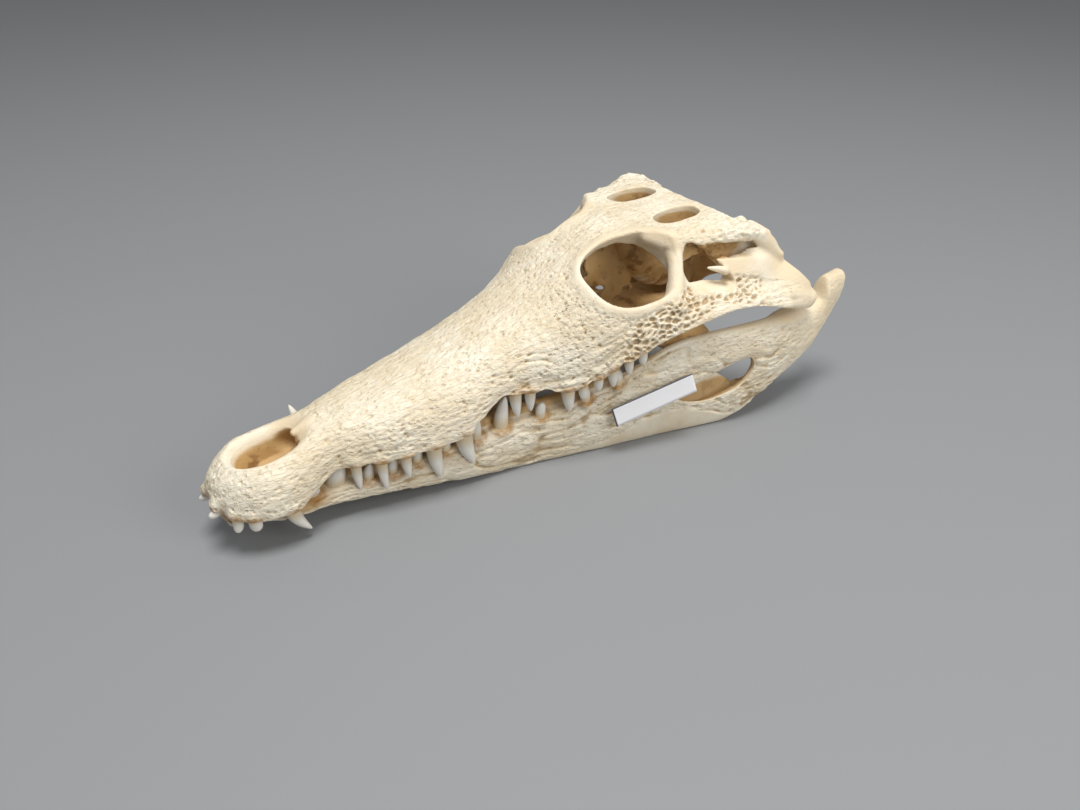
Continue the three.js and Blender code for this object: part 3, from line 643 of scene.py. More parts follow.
def surface_net(bone, region):
    """The surface of a field as quads round the grid's edges that it crosses, with one vertex in each cell
    that it passes through: the middle of its crossings, then moved along the slope onto zero. Bone belongs to
    the regions 1, 2 and on, and a wall closes each region where it meets another inside the bone. It gives
    the places, the outward slopes, how deep in the bone each place is, and each region's quads with whether
    they are skin."""
    field = bone.field
    owner = np.where(field < 0, region, 0).astype(np.uint8)
    parts = [owner[i:owner.shape[0] - 1 + i, j:owner.shape[1] - 1 + j, k:owner.shape[2] - 1 + k]
             for i, j, k in CORNERS]
    low = np.minimum.reduce(parts)
    high = np.maximum.reduce(parts)
    cells = np.argwhere(low != high)
    number = np.full(low.shape, -1, np.int32)
    number[tuple(cells.T)] = np.arange(len(cells))
    values = np.stack([field[tuple((cells + c).T)] for c in CORNERS], 1)
    total = np.zeros((len(cells), 3))
    count = np.zeros(len(cells))
    for a, first in enumerate(CORNERS):
        for b, second in enumerate(CORNERS):
            if b > a and np.abs(first - second).sum() == 1:
                crossed = (values[:, a] < 0) != (values[:, b] < 0)
                t = values[:, a] / np.where(crossed, values[:, a] - values[:, b], 1)
                total += np.where(crossed[:, None], first + t[:, None] * (second - first), 0)
                count += crossed
    real = count > 0
    places = cells + np.where(real[:, None], total / np.maximum(count, 1)[:, None], 0.5)
    for _ in range(3):
        value, slope = read_field(field, places[real])
        move = slope * (value / np.maximum((slope**2).sum(1), 1e-6))[:, None]
        size = np.linalg.norm(move, axis=1, keepdims=True)
        places[real] -= move * np.minimum(1, 0.3 / np.maximum(size, 1e-9))
    value, slope = read_field(field, places)
    depth = np.where(real, 0, np.maximum(-value, 0.01))
    outward = slope / np.maximum(np.linalg.norm(slope, axis=1, keepdims=True), 1e-9)

    faces = {}
    for axis in range(3):
        u, v = (axis + 1) % 3, (axis + 2) % 3
        before = np.moveaxis(owner, axis, 0)[:-1]
        after = np.moveaxis(owner, axis, 0)[1:]
        edges = np.argwhere(before != after)
        edge = np.empty_like(edges)
        order = [axis] + [i for i in range(3) if i != axis]
        edge[:, order] = edges
        ends = before[tuple(edges.T)], after[tuple(edges.T)]
        corners = []
        for du, dv in ((-1, -1), (0, -1), (0, 0), (-1, 0)):
            cell = edge.copy()
            cell[:, u] += du
            cell[:, v] += dv
            corners.append(number[tuple(cell.T)])
        quads = np.stack(corners, 1)
        for side, flip in ((0, 1), (1, -1)):
            for name in np.unique(ends[side][ends[side] > 0]):
                mine = ends[side] == name
                skin = ends[1 - side][mine] == 0
                faces.setdefault(int(name), []).append((quads[mine][:, ::flip], skin))
    faces = {name: [np.concatenate(parts) for parts in zip(*found)] for name, found in faces.items()}
    return bone.low + places * STEP, outward, depth, faces


# ---------- noise ----------
LOT_COUNT = 8192  # a power of two
LOTS = np.random.default_rng(41).random((LOT_COUNT, 4)).astype(np.float32)


def lot(cell, seed=0):
    """Four random numbers for each whole-numbered place, found by mixing the bits of its products with
    large primes."""
    i, j, k = cell.astype(np.int64).T
    return LOTS[((i * 73856093) ^ (j * 19349663) ^ (k * 83492791) ^ (seed * 2654435761)) & (LOT_COUNT - 1)]


def noise(points, seed=0):
    """Smooth noise from -1 to 1: random numbers at whole places, blended by 3t^2 - 2t^3 between them."""
    base = np.floor(points)
    t = points - base
    t = t * t * (3 - 2 * t)
    total = 0
    for corner in CORNERS:
        total = total + lot(base + corner, seed)[:, 0] * np.where(corner, t, 1 - t).prod(1)
    return 2 * total - 1


def cells(points, seed=0):
    """Distances to the nearest and the second nearest of random places, one in each unit cube, and the
    nearest one's own random number."""
    base = np.floor(points)
    first = np.full(len(points), 9.0)
    second = np.full(len(points), 9.0)
    own = np.zeros(len(points))
    for i in (-1, 0, 1):
        for j in (-1, 0, 1):
            for k in (-1, 0, 1):
                cell = base + (i, j, k)
                chance = lot(cell, seed)
                away = np.sqrt(((cell + 0.15 + 0.7 * chance[:, :3] - points) ** 2).sum(1))
                closer = away < first
                second = np.where(closer, first, np.minimum(second, away))
                own = np.where(closer, chance[:, 3], own)
                first = np.where(closer, away, first)
    return first, second, own


# ---------- how closed in a place is, for the painted shade ---
def closeness(bone):
    """The share of bone within about a centimetre of each place, on a coarser grid: the mean of each block,
    then four running means over five blocks along each axis."""
    coarse = 6 if STEP < 0.7 else 4
    filled = (bone.field < 0).astype(np.float32)
    filled = np.pad(filled, [(4 * coarse, 4 * coarse + -n % coarse) for n in filled.shape])
    a, b, c = (n // coarse for n in filled.shape)
    filled = filled.reshape(a, coarse, b, coarse, c, coarse).mean((1, 3, 5))
    for _ in range(4):
        for axis in range(3):
            filled = sum(np.roll(filled, shift, axis) for shift in (-2, -1, 0, 1, 2)) / 5

    def share(points):
        places = (points - bone.low) / (STEP * coarse) + 4 - 0.5
        return read_field(filled, places)[0]

    return share


# ---------- the relief of the bone ----------
def pits(points, sizes, wide, narrow, kept, seed):
    """Round pits, one in each kept cell: 1 within the narrow distance of its middle, 0 past the wide one."""
    first, _, own = cells(points / sizes, seed)
    return smooth(first, wide, narrow) * (own < kept)


def net(points, sizes, wall, seed):
    """A honeycomb: 0 on the walls, where the nearest two places are equally far, and 1 in the pits."""
    first, second, _ = cells(points / sizes, seed)
    return smooth(second - first, 0.04, wall)


def grooves(along, across, seed, width=0.32):
    """Long wavering grooves, where smooth noise stretched along the bone passes through zero."""
    drift = noise(np.stack([along / 9, across / 6, 0 * along], 1), seed + 1) * 1.3
    value = noise(np.stack([along / 14, (across + drift) / 1.7, 0 * along], 1), seed)
    return smooth(np.abs(value), width, 0.0)


def bumpy(points, size, seed):
    """Noise of a size, and half as much of half that size."""
    return noise(points / size, seed) + 0.5 * noise(points / (size * 0.5), seed + 1)


def near_teeth(points, roots):
    """1 at the foot of a tooth, falling to 0 some four millimetres away."""
    most = np.zeros(len(points))
    for x, side, height, length, radius, _ in roots:
        for sign in (-1, 1):
            mine = np.abs(points[:, 0] - x) < 9
            away = np.linalg.norm((points[mine] - (x, sign * side, height)) / (1, 1, 0.75), axis=1) - radius
            most[mine] = np.maximum(most[mine], smooth(away, 4.2, 0.2))
    return most


def cranium_relief(p, outward):
    """How deep each place lies under the smooth form, the share of relief that is rugged, and the painted
    shade: strongest far inside the head, in the recess over the ear and at the rear of the upper temple
    windows."""
    x, y, z = p.T
    low, w, rise = at(TOOTH_LINE, x), at(HALF_WIDTH, x), at(TOP, x) - at(TOOTH_LINE, x)
    h = z - low
    round_the_head = np.arctan2(np.maximum(h, 0) / rise, y / w) * 28
    over = np.abs(np.cos(round_the_head / 28))  # 0 on the midline and 1 at the tooth line
    outside = head_outside(x, y, z)

    # The rough outer skin: not inside the openings, on the bar behind the eye or on the quadrate.
    skin = smooth(outside, -1.7, -0.9) * smooth(outward[:, 2], -0.55, -0.15) * smooth(x, 232, 214)
    to_orbit = ORBIT[2](x, np.abs(y), z)
    in_orbit = smooth(to_orbit, 1.2, 4.6)
    rim = smooth(to_orbit, -0.5, 0.8) * smooth(to_orbit, 5.5, 1.5) * smooth(outside, -1.5, -0.5)
    in_nose = smooth(NOSTRIL[2](x, y, z), 0.2, 2.2)
    by_window = smooth(LOWER_TEMPLE_WINDOW[2](x, np.abs(y), z), 0.2, 1.6)
    by_window = by_window * smooth(UPPER_TEMPLE_WINDOW[2](x, np.abs(y), z), 0.2, 1.4)
    skin = skin * in_orbit * in_nose * by_window
    bar = smooth(np.abs(y), 22, 25) * smooth(h, 13.5, 15.5) * smooth(z, 79.5, 77)
    skin = skin * (1 - bar * smooth(x, 160, 165))
    table = smooth(x, 158, 166) * smooth(z, 79, 80.5)
    edge = table * smooth(np.abs(y), 24, 28)
    quadrate = smooth(x, 176, 186) * (1 - table) * smooth(h, 9, 12)
    skin = skin * (1 - quadrate)

    # The parts of the head, each from 0 to 1.
    jugal = smooth(x, 139, 150) * smooth(x, 214, 196) * smooth(h, 15, 12)
    front = smooth(x, 48, 40)
    middle = (1 - front) * smooth(x, 128, 112)
    brow = smooth(x, 112, 126) * smooth(x, 166, 158) * (1 - jugal)
    side = smooth(over, 0.45, 0.85)

    # The relief of each part.
    wander = p + 1.2 * np.stack([noise(p / 5, s) for s in (11, 12, 13)], 1)
    netted = jugal * smooth(h + 0.22 * np.abs(x - 184), 2.5, 6.5) * smooth(x, 214, 204)
    deep = 1.25 * netted * net(wander, (3.2, 2.2, 2.0), 0.42, 21)
    deep += 0.15 * (middle + 0.8 * brow + (jugal - netted)) * net(wander, (6.5, 2.2, 2.2), 0.9, 27)
    deep += 0.12 * front * net(wander, (3.6, 2.4, 2.4), 0.9, 28)
    deep += 0.5 * edge * net(wander, (2.9, 2.2, 2), 0.5, 22)
    deep += 0.42 * (table - edge) * pits(wander, (2.6, 2.6, 2.6), 0.42, 0.18, 0.8, 23)
    deep += 0.75 * front * pits(wander, (2.5, 2.5, 2.5), 0.34, 0.12, 0.8, 24)
    deep += 0.75 * middle * (0.4 + 0.6 * side) * pits(wander, (2.9, 2.1, 2.1), 0.33, 0.11, 0.7, 25)
    deep += 0.7 * brow * pits(wander, (2.5, 2.1, 2.1), 0.34, 0.12, 0.7, 26)
    lines = grooves(x, round_the_head, 31)
    streaked = smooth(x, 96, 116) * smooth(h, 17, 12) * (1 - netted)
    deep += (0.26 * middle + 0.18 * brow + 0.1 * front + 0.15 * jugal + 0.42 * streaked) * lines
    fine = grooves(x * 1.6, round_the_head * 1.9, 33, 0.4)
    deep += 0.12 * (middle + brow + front) * fine
    deep += 0.16 * bumpy(p, 4.5, 41)
    deep = deep * skin - 0.5 * rim - 0.15 * bumpy(p, 9, 43)

    # The inside, the underside and the back: relief inside the head, and painted shade deep in it, weaker on
    # the underside and on the back of the skull.
    inside = smooth(outside, -2, -4) * smooth(x, 126, 134)
    deep = deep + inside * (0.35 * bumpy(p, 5, 45) + 0.2 * bumpy(p, 2.2, 47))
    underside = smooth(z, low + 7, low + 3) * smooth(outward[:, 2], -0.2, -0.7)
    painted_shade = smooth(outside, -2.6, -8) * (1 - 0.75 * underside)
    occiput = smooth(x, 196, 200) * smooth(outward[:, 0], 0.2, 0.7)
    painted_shade = painted_shade * (1 - 0.85 * occiput)

    # The recess over the ear, the knobs on the side of the table, and the rear of the upper temple windows,
    # with painted shade in the recess and at the windows' rear.
    ragged = 2.5 * bumpy(p, 3.4, 85)
    recess = smooth(x, 178, 182) * smooth(x + 2 * ragged, 212, 196)
    recess = recess * smooth(z, 69.6, 71) * smooth(z, 79.6, 78.4)
    recess = recess * smooth(np.abs(y) + 0.6 * ragged, 35, 32) * smooth(np.abs(y), 22, 24)
    deep = deep + recess * (0.8 * net(wander, (3, 2.4, 2.4), 0.6, 29) + 0.25 * ragged)
    table_side = smooth(x, 172, 180) * smooth(x, 216, 210)
    table_side = table_side * smooth(z, 76.5, 78.2) * smooth(np.abs(y), 26, 28.5)
    deep = deep + table_side * (0.55 * bumpy(p, 4.2, 81) + 0.25 * bumpy(p, 1.9, 83))
    # Painted shade at the rear of the upper temple windows.
    window_rear_shade = smooth(UPPER_TEMPLE_WINDOW[2](x, np.abs(y), z), 1.8, 0.6)
    window_rear_shade = window_rear_shade * smooth(x, 176, 186) * smooth(z, 83.6, 81.6)
    return deep, skin, np.maximum(painted_shade, np.maximum(recess, 0.85 * window_rear_shade))


def jaw_relief(p, outward):
    """The same for the lower jaw: grooves along it, a rough rear edge, and pits in front and by the teeth, with
    painted shade inside it, on the ridge under the teeth and on its front under the snout.
    """
    x, y, z = p.T
    inner, outer, low, high = (at(k, x) for k in (JAW_INNER, JAW_OUTER, JAW_BOTTOM, JAW_TOP))
    across = (z - low) / (high - low) * 15
    middle = (inner + outer) / 2
    outside = jaw_outside(x, np.abs(y), z)
    skin = smooth(outside, -1.6, -0.8) * smooth(np.abs(y) - middle, -0.12, 0.12)
    skin = skin * smooth(outward[:, 2], 0.8, 0.45) * smooth(np.abs(outward[:, 1]), 0.15, 0.35)
    rear = smooth(x, 226, 244)
    rough = smooth(x, 165, 185) * smooth(z, 22, 15)
    shelf = smooth(x, 165, 180) * smooth(z, 30, 36)
    front = smooth(x, 50, 36)
    wander = p + 1.2 * np.stack([noise(p / 5, s) for s in (51, 52, 53)], 1)
    deep = 0.6 * grooves(x, across, 61) * (1 - 0.7 * shelf)
    deep += 0.3 * grooves(x * 1.5, across * 1.8, 63, 0.4)
    deep += 0.3 * (1 - shelf) * net(wander, (14, 2.8, 2.8), 0.9, 67)
    deep += 0.5 * front * pits(wander, (3.6, 3, 3), 0.34, 0.12, 0.7, 64)
    deep += 0.4 * smooth(across, 9, 12) * pits(wander, (6, 3, 3), 0.26, 0.1, 0.6, 65)
    deep += 0.6 * rough * net(wander, (6.5, 2.6, 2.3), 0.5, 66)
    deep += 0.12 * bumpy(p, 4, 71)
    # Painted shade: inside the jaw, on the top of the ridge under the teeth, and on the front under the snout.
    ridge = smooth(z, high + 0.2, high + 1.6) * smooth(x, 26, 32) * smooth(x, 158, 150)
    painted_shade = np.maximum(0.65 * smooth(outside, -1.2, -3.4) * smooth(x, 258, 254), 0.8 * ridge)
    painted_shade = np.maximum(painted_shade, 0.7 * smooth(x, 44, 28) * smooth(z, low + 1, low + 4))
    deep = deep * skin * (1 - 0.6 * rear) - 0.12 * bumpy(p, 9, 73) + 0.16 * rear * bumpy(p, 3.4, 75)
    return deep, skin * (1 - 0.6 * rear), painted_shade


# ---------- Blender meshes ----------
def into_mesh(name, vertices, quads, normals=None, marks=None, uv=None):
    """A mesh object in metres in the frame, from places in millimetres in the skull's own directions."""
    mesh = bpy.data.meshes.new(name)
    mesh.vertices.add(len(vertices))
    mesh.vertices.foreach_set("co", ((vertices + TIP) / 1000).astype(np.float32).ravel())
    mesh.loops.add(quads.size)
    mesh.loops.foreach_set("vertex_index", quads.astype(np.int32).ravel())
    mesh.polygons.add(len(quads))
    mesh.polygons.foreach_set("loop_start", np.arange(0, quads.size, quads.shape[1], dtype=np.int32))
    mesh.update(calc_edges=True)
    mesh.shade_smooth()
    for mark, values in (marks or {}).items():
        mesh.attributes.new(mark, "FLOAT", "POINT").data.foreach_set("value", values.astype(np.float32))
    if uv is not None:
        mesh.uv_layers.new(name="along").data.foreach_set("uv", uv.astype(np.float32).ravel())
    if normals is not None:
        mesh.normals_split_custom_set_from_vertices(normals)
    piece = bpy.data.objects.new(name, mesh)
    bpy.context.scene.collection.objects.link(piece)
    return piece


def facing(vertices, quads):
    """Unit normals at the vertices: the sum of the areas of the faces round each."""
    a, b, c, d = (vertices[quads[:, i]] for i in range(4))
    area = np.cross(c - a, d - b)
    total = np.stack([
        sum(np.bincount(quads[:, i], area[:, axis], len(vertices)) for i in range(4)) for axis in range(3)
    ], 1)
    return total / np.maximum(np.linalg.norm(total, axis=1, keepdims=True), 1e-12)


DEEPEST = 1.3  # no place of the relief lies farther than this under the smooth form
LOOK_OUT = 4  # how far outside the surface the bone round a place is counted


def softened(values, quads):
    """Each value drawn four tenths of the way to the mean of the quads round its vertex."""
    means = np.repeat(values[quads].mean(1)[:, None], 4, 1).ravel()
    total = np.bincount(quads.ravel(), means, len(values))
    count = np.bincount(quads.ravel(), minlength=len(values))
    return values + 0.4 * np.where(count > 0, total / np.maximum(count, 1) - values, 0)


def carve(bone, region, names, relief, roots, material, node_of, flip=False):
    """The pieces of one bone: its surface, sunk along its normals by the relief, with marks for the finish,
    among them the painted shade in pits and where the bone is closed in.
    The walls between pieces sink at least as far, so that none comes out through the skin."""
    vertices, outward, depth, faces = surface_net(bone, region)
    deep, skin, painted_shade = relief(vertices, outward)
    skins = np.concatenate([quads[outer] for quads, outer in faces.values()])
    deep = np.minimum(softened(deep, skins), DEEPEST)
    # How closed in each place is, which sets the painted shade there.
    share = closeness(bone)(vertices + outward * LOOK_OUT)
    # The pit mark and the closed-in mark carry painted shade into the finish; the tooth-foot mark carries a
    # stain that also paints the shade between the teeth.
    marks = {
        "pit": np.clip((deep - 0.3) / 0.6, 0, 1),
        "closed_in": np.maximum(smooth(share, 0.3, 0.62), painted_shade),
        "tooth_foot": near_teeth(vertices, roots),
        "rugged": skin,
    }
    sunk = np.where(depth > 0, np.clip(DEEPEST + 0.2 - depth, 0, DEEPEST), deep)
    vertices = vertices - outward * sunk[:, None]
    vertices[:, 2] = np.maximum(vertices[:, 2], 0)
    normals = facing(vertices, skins)
    if flip:
        vertices = vertices * (1, -1, 1)
        normals = normals * (1, -1, 1)
    for number, (quads, _) in sorted(faces.items()):
        used, place = np.unique(quads, return_inverse=True)
        quads = place.reshape(quads.shape)
        piece = into_mesh(
            names[number - 1], vertices[used], quads[:, ::-1] if flip else quads, normals[used],
            {mark: values[used] for mark, values in marks.items()},
        )
        piece.data.materials.append(material)
        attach(piece, "root")
        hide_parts(node_of)
        print(piece.name, 2 * len(quads), "triangles")


# ---------- teeth ----------
def tooth_rows(roots, side):
    """Crowns with a root in the bone. At t along a whole crown the radius is (1 - t^2.2)^0.62 of the widest,
    and a short one is worn to a stub, (1 - t^5.8)^0.45. The section is an oval with fine flutes and a keel
    before and behind. It lies level, or square to the crown where that leans more than it is long."""
    rings, around = 22, 28
    s = np.linspace(0, 1, rings)
    t = -0.35 + 1.35 * (1 - (1 - s) ** 1.5)
    angle = np.arange(around) / around * 2 * np.pi
    crown = smooth(t, 0.02, 0.2) * smooth(t, 1.0, 0.7)
    flutes = 1 + crown[:, None] * (0.012 * np.cos(14 * angle) + 0.03 * np.abs(np.cos(angle)) ** 12)
    vertices, faces, uvs, count = [], [], [], 0
    ring = np.arange(rings - 1)[:, None] * around
    here = np.arange(around)[None]
    after = (here + 1) % around
    quads = np.stack([ring + here, ring + after, ring + after + around, ring + here + around], -1)
    quads = quads.reshape(-1, 4)
    turn = np.stack(np.broadcast_arrays(
        here / around, (here + 1) / around, (here + 1) / around, here / around), -1)
    climb = np.stack([s[:-1, None], s[:-1, None], s[1:, None], s[1:, None]], -1)
    turn, climb = np.broadcast_arrays(turn, climb)
    uv = np.stack([turn, climb], -1).reshape(-1, 2)
    for x, y, height, length, radius, lean in roots:
        worn = smooth(abs(length), 8, 5)
        crown_taper = (1 - np.clip(t, 0, 1) ** (2.2 + 3.6 * worn)) ** (0.62 - 0.17 * worn)
        taper = np.where(t > 0, crown_taper, 1 - 0.3 * t * t)
        taper[-1] = 0.02
        path = tooth_path(x, y, height, length, lean, t)
        grid = np.repeat(path[:, None], around, 1)
        tilt = np.arctan2(lean[0], abs(length)) * smooth(abs(lean[0]), 1.2 * abs(length), 2 * abs(length))
        ahead = radius * taper[:, None] * flutes * np.cos(angle)
        grid[:, :, 0] += ahead * np.cos(tilt)
        grid[:, :, 2] += ahead * np.sin(tilt)
        grid[:, :, 1] += radius * 0.86 * taper[:, None] * flutes * np.sin(angle)
        grid = grid.reshape(-1, 3) * (1, side, 1)
        out = (length > 0) != (side > 0)
        vertices.append(grid)
        faces.append((quads if out else quads[:, ::-1]) + count)
        uvs.append(uv if out else uv.reshape(-1, 4, 2)[:, ::-1].reshape(-1, 2))
        count += len(grid)
    return np.concatenate(vertices), np.concatenate(faces), np.concatenate(uvs)


def teeth(name, rows, material, node):
    """One piece of all the teeth of a node, from rows of roots and the side that each row is on."""
    vertices, faces, uvs, count = [], [], [], 0
    for roots, side in rows:
        v, f, uv = tooth_rows(roots, side)
        vertices.append(v)
        faces.append(f + count)
        uvs.append(uv)
        count += len(v)
    piece = into_mesh(name, np.concatenate(vertices), np.concatenate(faces), uv=np.concatenate(uvs))
    piece.data.materials.append(material)
    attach(piece, "root")
    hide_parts(node)
    print(name, 2 * len(piece.data.polygons), "triangles")


# ---------- finishes ----------
class Finish:
    """A material whose nodes come from one method."""

    def __init__(self, name):
        self.material = bpy.data.materials.new(name)
        self.material.use_nodes = True
        self.tree = self.material.node_tree
        self.tree.nodes.clear()

    def node(self, kind, settings=None, sockets=None, out=0):
        """A node of a kind, with its settings and then the values or links of its sockets."""
        made = self.tree.nodes.new("ShaderNode" + kind)
        for key, value in (settings or {}).items():
            if key == "stops":
                ramp = made.color_ramp
                while len(ramp.elements) < len(value):
                    ramp.elements.new(1)
                for element, (place, colour) in zip(ramp.elements, value):
                    element.position = place
                    element.color = (*colour, 1)
            else:
                setattr(made, key, value)
        for key, value in (sockets or {}).items():
            if isinstance(value, Value):
                self.tree.links.new(value.socket, made.inputs[key])
            else:
                made.inputs[key].default_value = value
        return Value(self, made.outputs[out]) if made.outputs else None

    def mark(self, name):
        """One of the numbers that the mesh holds at its vertices."""
        return self.node("Attribute", {"attribute_name": name}, out=2)

    def place(self):
        """Object coordinates, in metres."""
        return self.node("TexCoord", out=3)

    def mix(self, share, first, second):
        """The first colour at share 0 and the second at 1."""
        colours = [c if isinstance(c, Value) else (*c, 1) for c in (first, second)]
        return self.node("Mix", {"data_type": "RGBA"}, {0: share, 6: colours[0], 7: colours[1]}, out=2)

    def noise(self, place, scale, detail=3.0, rough=0.5):
        """Soft noise from 0 to 1, with waves of about 1 / scale of a metre."""
        sockets = {"Vector": place, "Scale": scale, "Detail": detail, "Roughness": rough}
        return self.node("TexNoise", None, sockets)

    def stretched(self, place, scale):
        """A place with a scale of its own along each axis."""
        return self.node("Mapping", None, {"Vector": place, "Scale": scale})

    def shader(self, **sockets):
        """The material with one principled shader, whose sockets are named with _ for each space."""
        shader = self.node("BsdfPrincipled", None, {k.replace("_", " "): v for k, v in sockets.items()})
        self.node("OutputMaterial", None, {"Surface": shader})
        return self.material


class Value:
    """A number that varies over a surface: arithmetic on it adds Math nodes."""

    def __init__(self, finish, socket):
        self.finish = finish
        self.socket = socket

    def math(self, operation, first, second):
        return self.finish.node("Math", {"operation": operation}, {0: first, 1: second})

    def __add__(self, other):
        return self.math("ADD", self, other)

    def __mul__(self, other):
        return self.math("MULTIPLY", self, other)

    def __sub__(self, other):
        return self.math("SUBTRACT", self, other)

    def __rsub__(self, other):
        return self.math("SUBTRACT", other, self)

    def absolute(self):
        return self.math("ABSOLUTE", self, 0.0)

    __radd__ = __add__
    __rmul__ = __mul__

    def between(self, low, high):
        """0 below low and 1 above high, smoothly; low may lie above high."""
        sockets = {"Value": self, "From Min": low, "From Max": high}
        return self.finish.node("MapRange", {"interpolation_type": "SMOOTHSTEP"}, sockets)


IVORY = (0.80, 0.70, 0.52)
CREAM = (0.88, 0.81, 0.66)
# Straw is the bone's own tone in its mottles and painted shade in its pits; umber is painted shade in the
# deepest pits.
STRAW_TONE_AND_PIT_SHADE = (0.66, 0.49, 0.27)
HONEY = (0.76, 0.57, 0.33)
# Tan and brown: painted shade where the bone is closed in.
SHADE_TAN = (0.54, 0.31, 0.08)
PIT_SHADE_UMBER = (0.36, 0.235, 0.105)
SHADE_BROWN = (0.22, 0.105, 0.026)
# Rust: a stain at the feet of the teeth that also paints the shade between them.
RUST_STAIN_AND_SHADE = (0.44, 0.225, 0.06)


def bone_finish():
    """Dry bleached bone: ivory with paler and yellower clouds, painted shade in straw and umber in the pits,
    painted shade in tan and brown where it is closed in, a rust-brown stain at the feet of the teeth that also
    paints the shade between them, and fine pits, wrinkles and grain."""
    f = Finish("bleached_bone")
    place = f.place()
    pit, closed, foot, rugged = (f.mark(m) for m in ("pit", "closed_in", "tooth_foot", "rugged"))
    clouds = f.noise(place, 45.0, 4.0)
    mottle = f.noise(place, 260.0, 4.0, 0.6)
    patches = f.noise(place, 130.0, 3.0, 0.6)
    wander = f.node("VectorMath", {"operation": "MULTIPLY_ADD"}, {
        0: f.node("TexNoise", None, {"Vector": place, "Scale": 260.0}, out=1), 1: (0.0016,) * 3, 2: place})
    small = f.node("TexVoronoi", None, {"Vector": f.stretched(wander, (430.0, 640.0, 640.0)), "Scale": 1.0})
    large = f.node("TexVoronoi", None, {"Vector": f.stretched(wander, (230.0, 420.0, 420.0)), "Scale": 1.0})
    lines = f.noise(f.stretched(place, (110.0, 620.0, 620.0)), 1.0, 3.0, 0.6)
    dots = small.between(0.42, 0.12) * rugged * patches.between(0.35, 0.55)
    dips = large.between(0.5, 0.1) * rugged
    wrinkle = (lines - 0.5).absolute().between(0.07, 0.0) * (0.25 + 0.75 * rugged)
    grain = f.noise(f.stretched(place, (300.0, 1500.0, 1500.0)), 1.0, 4.0, 0.65)

    colour = f.mix(clouds.between(0.38, 0.66), IVORY, CREAM)
    colour = f.mix(mottle.between(0.5, 0.75) * 0.3, colour, STRAW_TONE_AND_PIT_SHADE)
    # Painted shade in the pits, dots, dips and wrinkles: straw, and umber in the deepest pits.
    colour = f.mix(pit.between(0.1, 0.9) * 0.5 + dots * 0.35 + dips * 0.12 + wrinkle * 0.16, colour, STRAW_TONE_AND_PIT_SHADE)
    colour = f.mix(pit.between(0.45, 1.0) * 0.65, colour, PIT_SHADE_UMBER)
    colour = f.mix((1 - rugged) * clouds.between(0.7, 0.4) * 0.35, colour, HONEY)
    # Painted shade where the bone is closed in: tan, and brown in patches.
    colour = f.mix(closed.between(0.0, 0.8) * (0.45 + 0.7 * clouds), colour, SHADE_TAN)
    colour = f.mix(closed.between(0.4, 1.0) * patches.between(0.52, 0.66) * 0.7, colour, SHADE_BROWN)
    # A rust-brown stain at the feet of the teeth, which also paints the shade between them.
    colour = f.mix(foot.between(0.15, 0.9) * mottle.between(0.25, 0.6) * 0.9, colour, RUST_STAIN_AND_SHADE)
    height = grain * 0.00012 - dots * 0.00026 - dips * 0.00022 - wrinkle * 0.00011
    height = height + f.noise(place, 1400.0, 3.0) * 0.00006
    bump = f.node("Bump", None, {"Height": height, "Strength": 1.0, "Distance": 1.0})
    return f.shader(
        Base_Color=colour, Roughness=0.5 + 0.2 * mottle, Normal=bump,
        Subsurface_Weight=0.1, Subsurface_Radius=(0.9, 0.55, 0.3), Subsurface_Scale=0.001,
    )


def tooth_finish():
    """Enamel: grey-white and a little glossy, yellower at the root, with fine streaks along the crown."""
    f = Finish("tooth_enamel")
    uv = f.node("UVMap", {"uv_map": "along"})
    split = f.node("SeparateXYZ", None, {0: uv}, out=1)
    streaks = f.noise(f.stretched(uv, (34.0, 2.2, 1.0)), 1.0, 3.0)
    colour = f.mix(split.between(0.5, 0.22), (0.79, 0.765, 0.70), (0.68, 0.55, 0.35))
    colour = f.mix(streaks.between(0.45, 0.7) * 0.3, colour, (0.62, 0.56, 0.45))
    bump = f.node("Bump", None, {"Height": streaks * 0.00012, "Strength": 1.0, "Distance": 1.0})
    return f.shader(
        Base_Color=colour, Roughness=0.28 + 0.15 * streaks, Normal=bump, Coat_Weight=0.2,
        Subsurface_Weight=0.2, Subsurface_Radius=(0.9, 0.8, 0.6), Subsurface_Scale=0.001,
    )


def paper_finish():
    """White card with a thin dark rule along its top and its front edge, and nothing printed on it."""
    f = Finish("tag_card")
    uv = f.node("UVMap", {"uv_map": "along"})
    u = f.node("SeparateXYZ", None, {0: uv}, out=0)
    v = f.node("SeparateXYZ", None, {0: uv}, out=1)
    top = v.between(0.925, 0.94)
    left = u.between(0.021, 0.016)
    rule = u.math("MAXIMUM", top, left)
    fibres = f.noise(f.place(), 1800.0, 4.0, 0.7)
    colour = f.mix(fibres, (0.78, 0.78, 0.80), (0.86, 0.86, 0.88))
    colour = f.mix(rule * 0.9, colour, (0.03, 0.03, 0.05))
    bump = f.node("Bump", None, {"Height": fibres * 0.00003, "Strength": 1.0, "Distance": 1.0})
    return f.shader(Base_Color=colour, Roughness=0.75 + 0.1 * fibres, Normal=bump)


# ---------- the pieces ----------
PREMAXILLA_END = 44
MAXILLA_END = 125
BRAINCASE_HALF_WIDTH = 20
DENTARY_END = 168


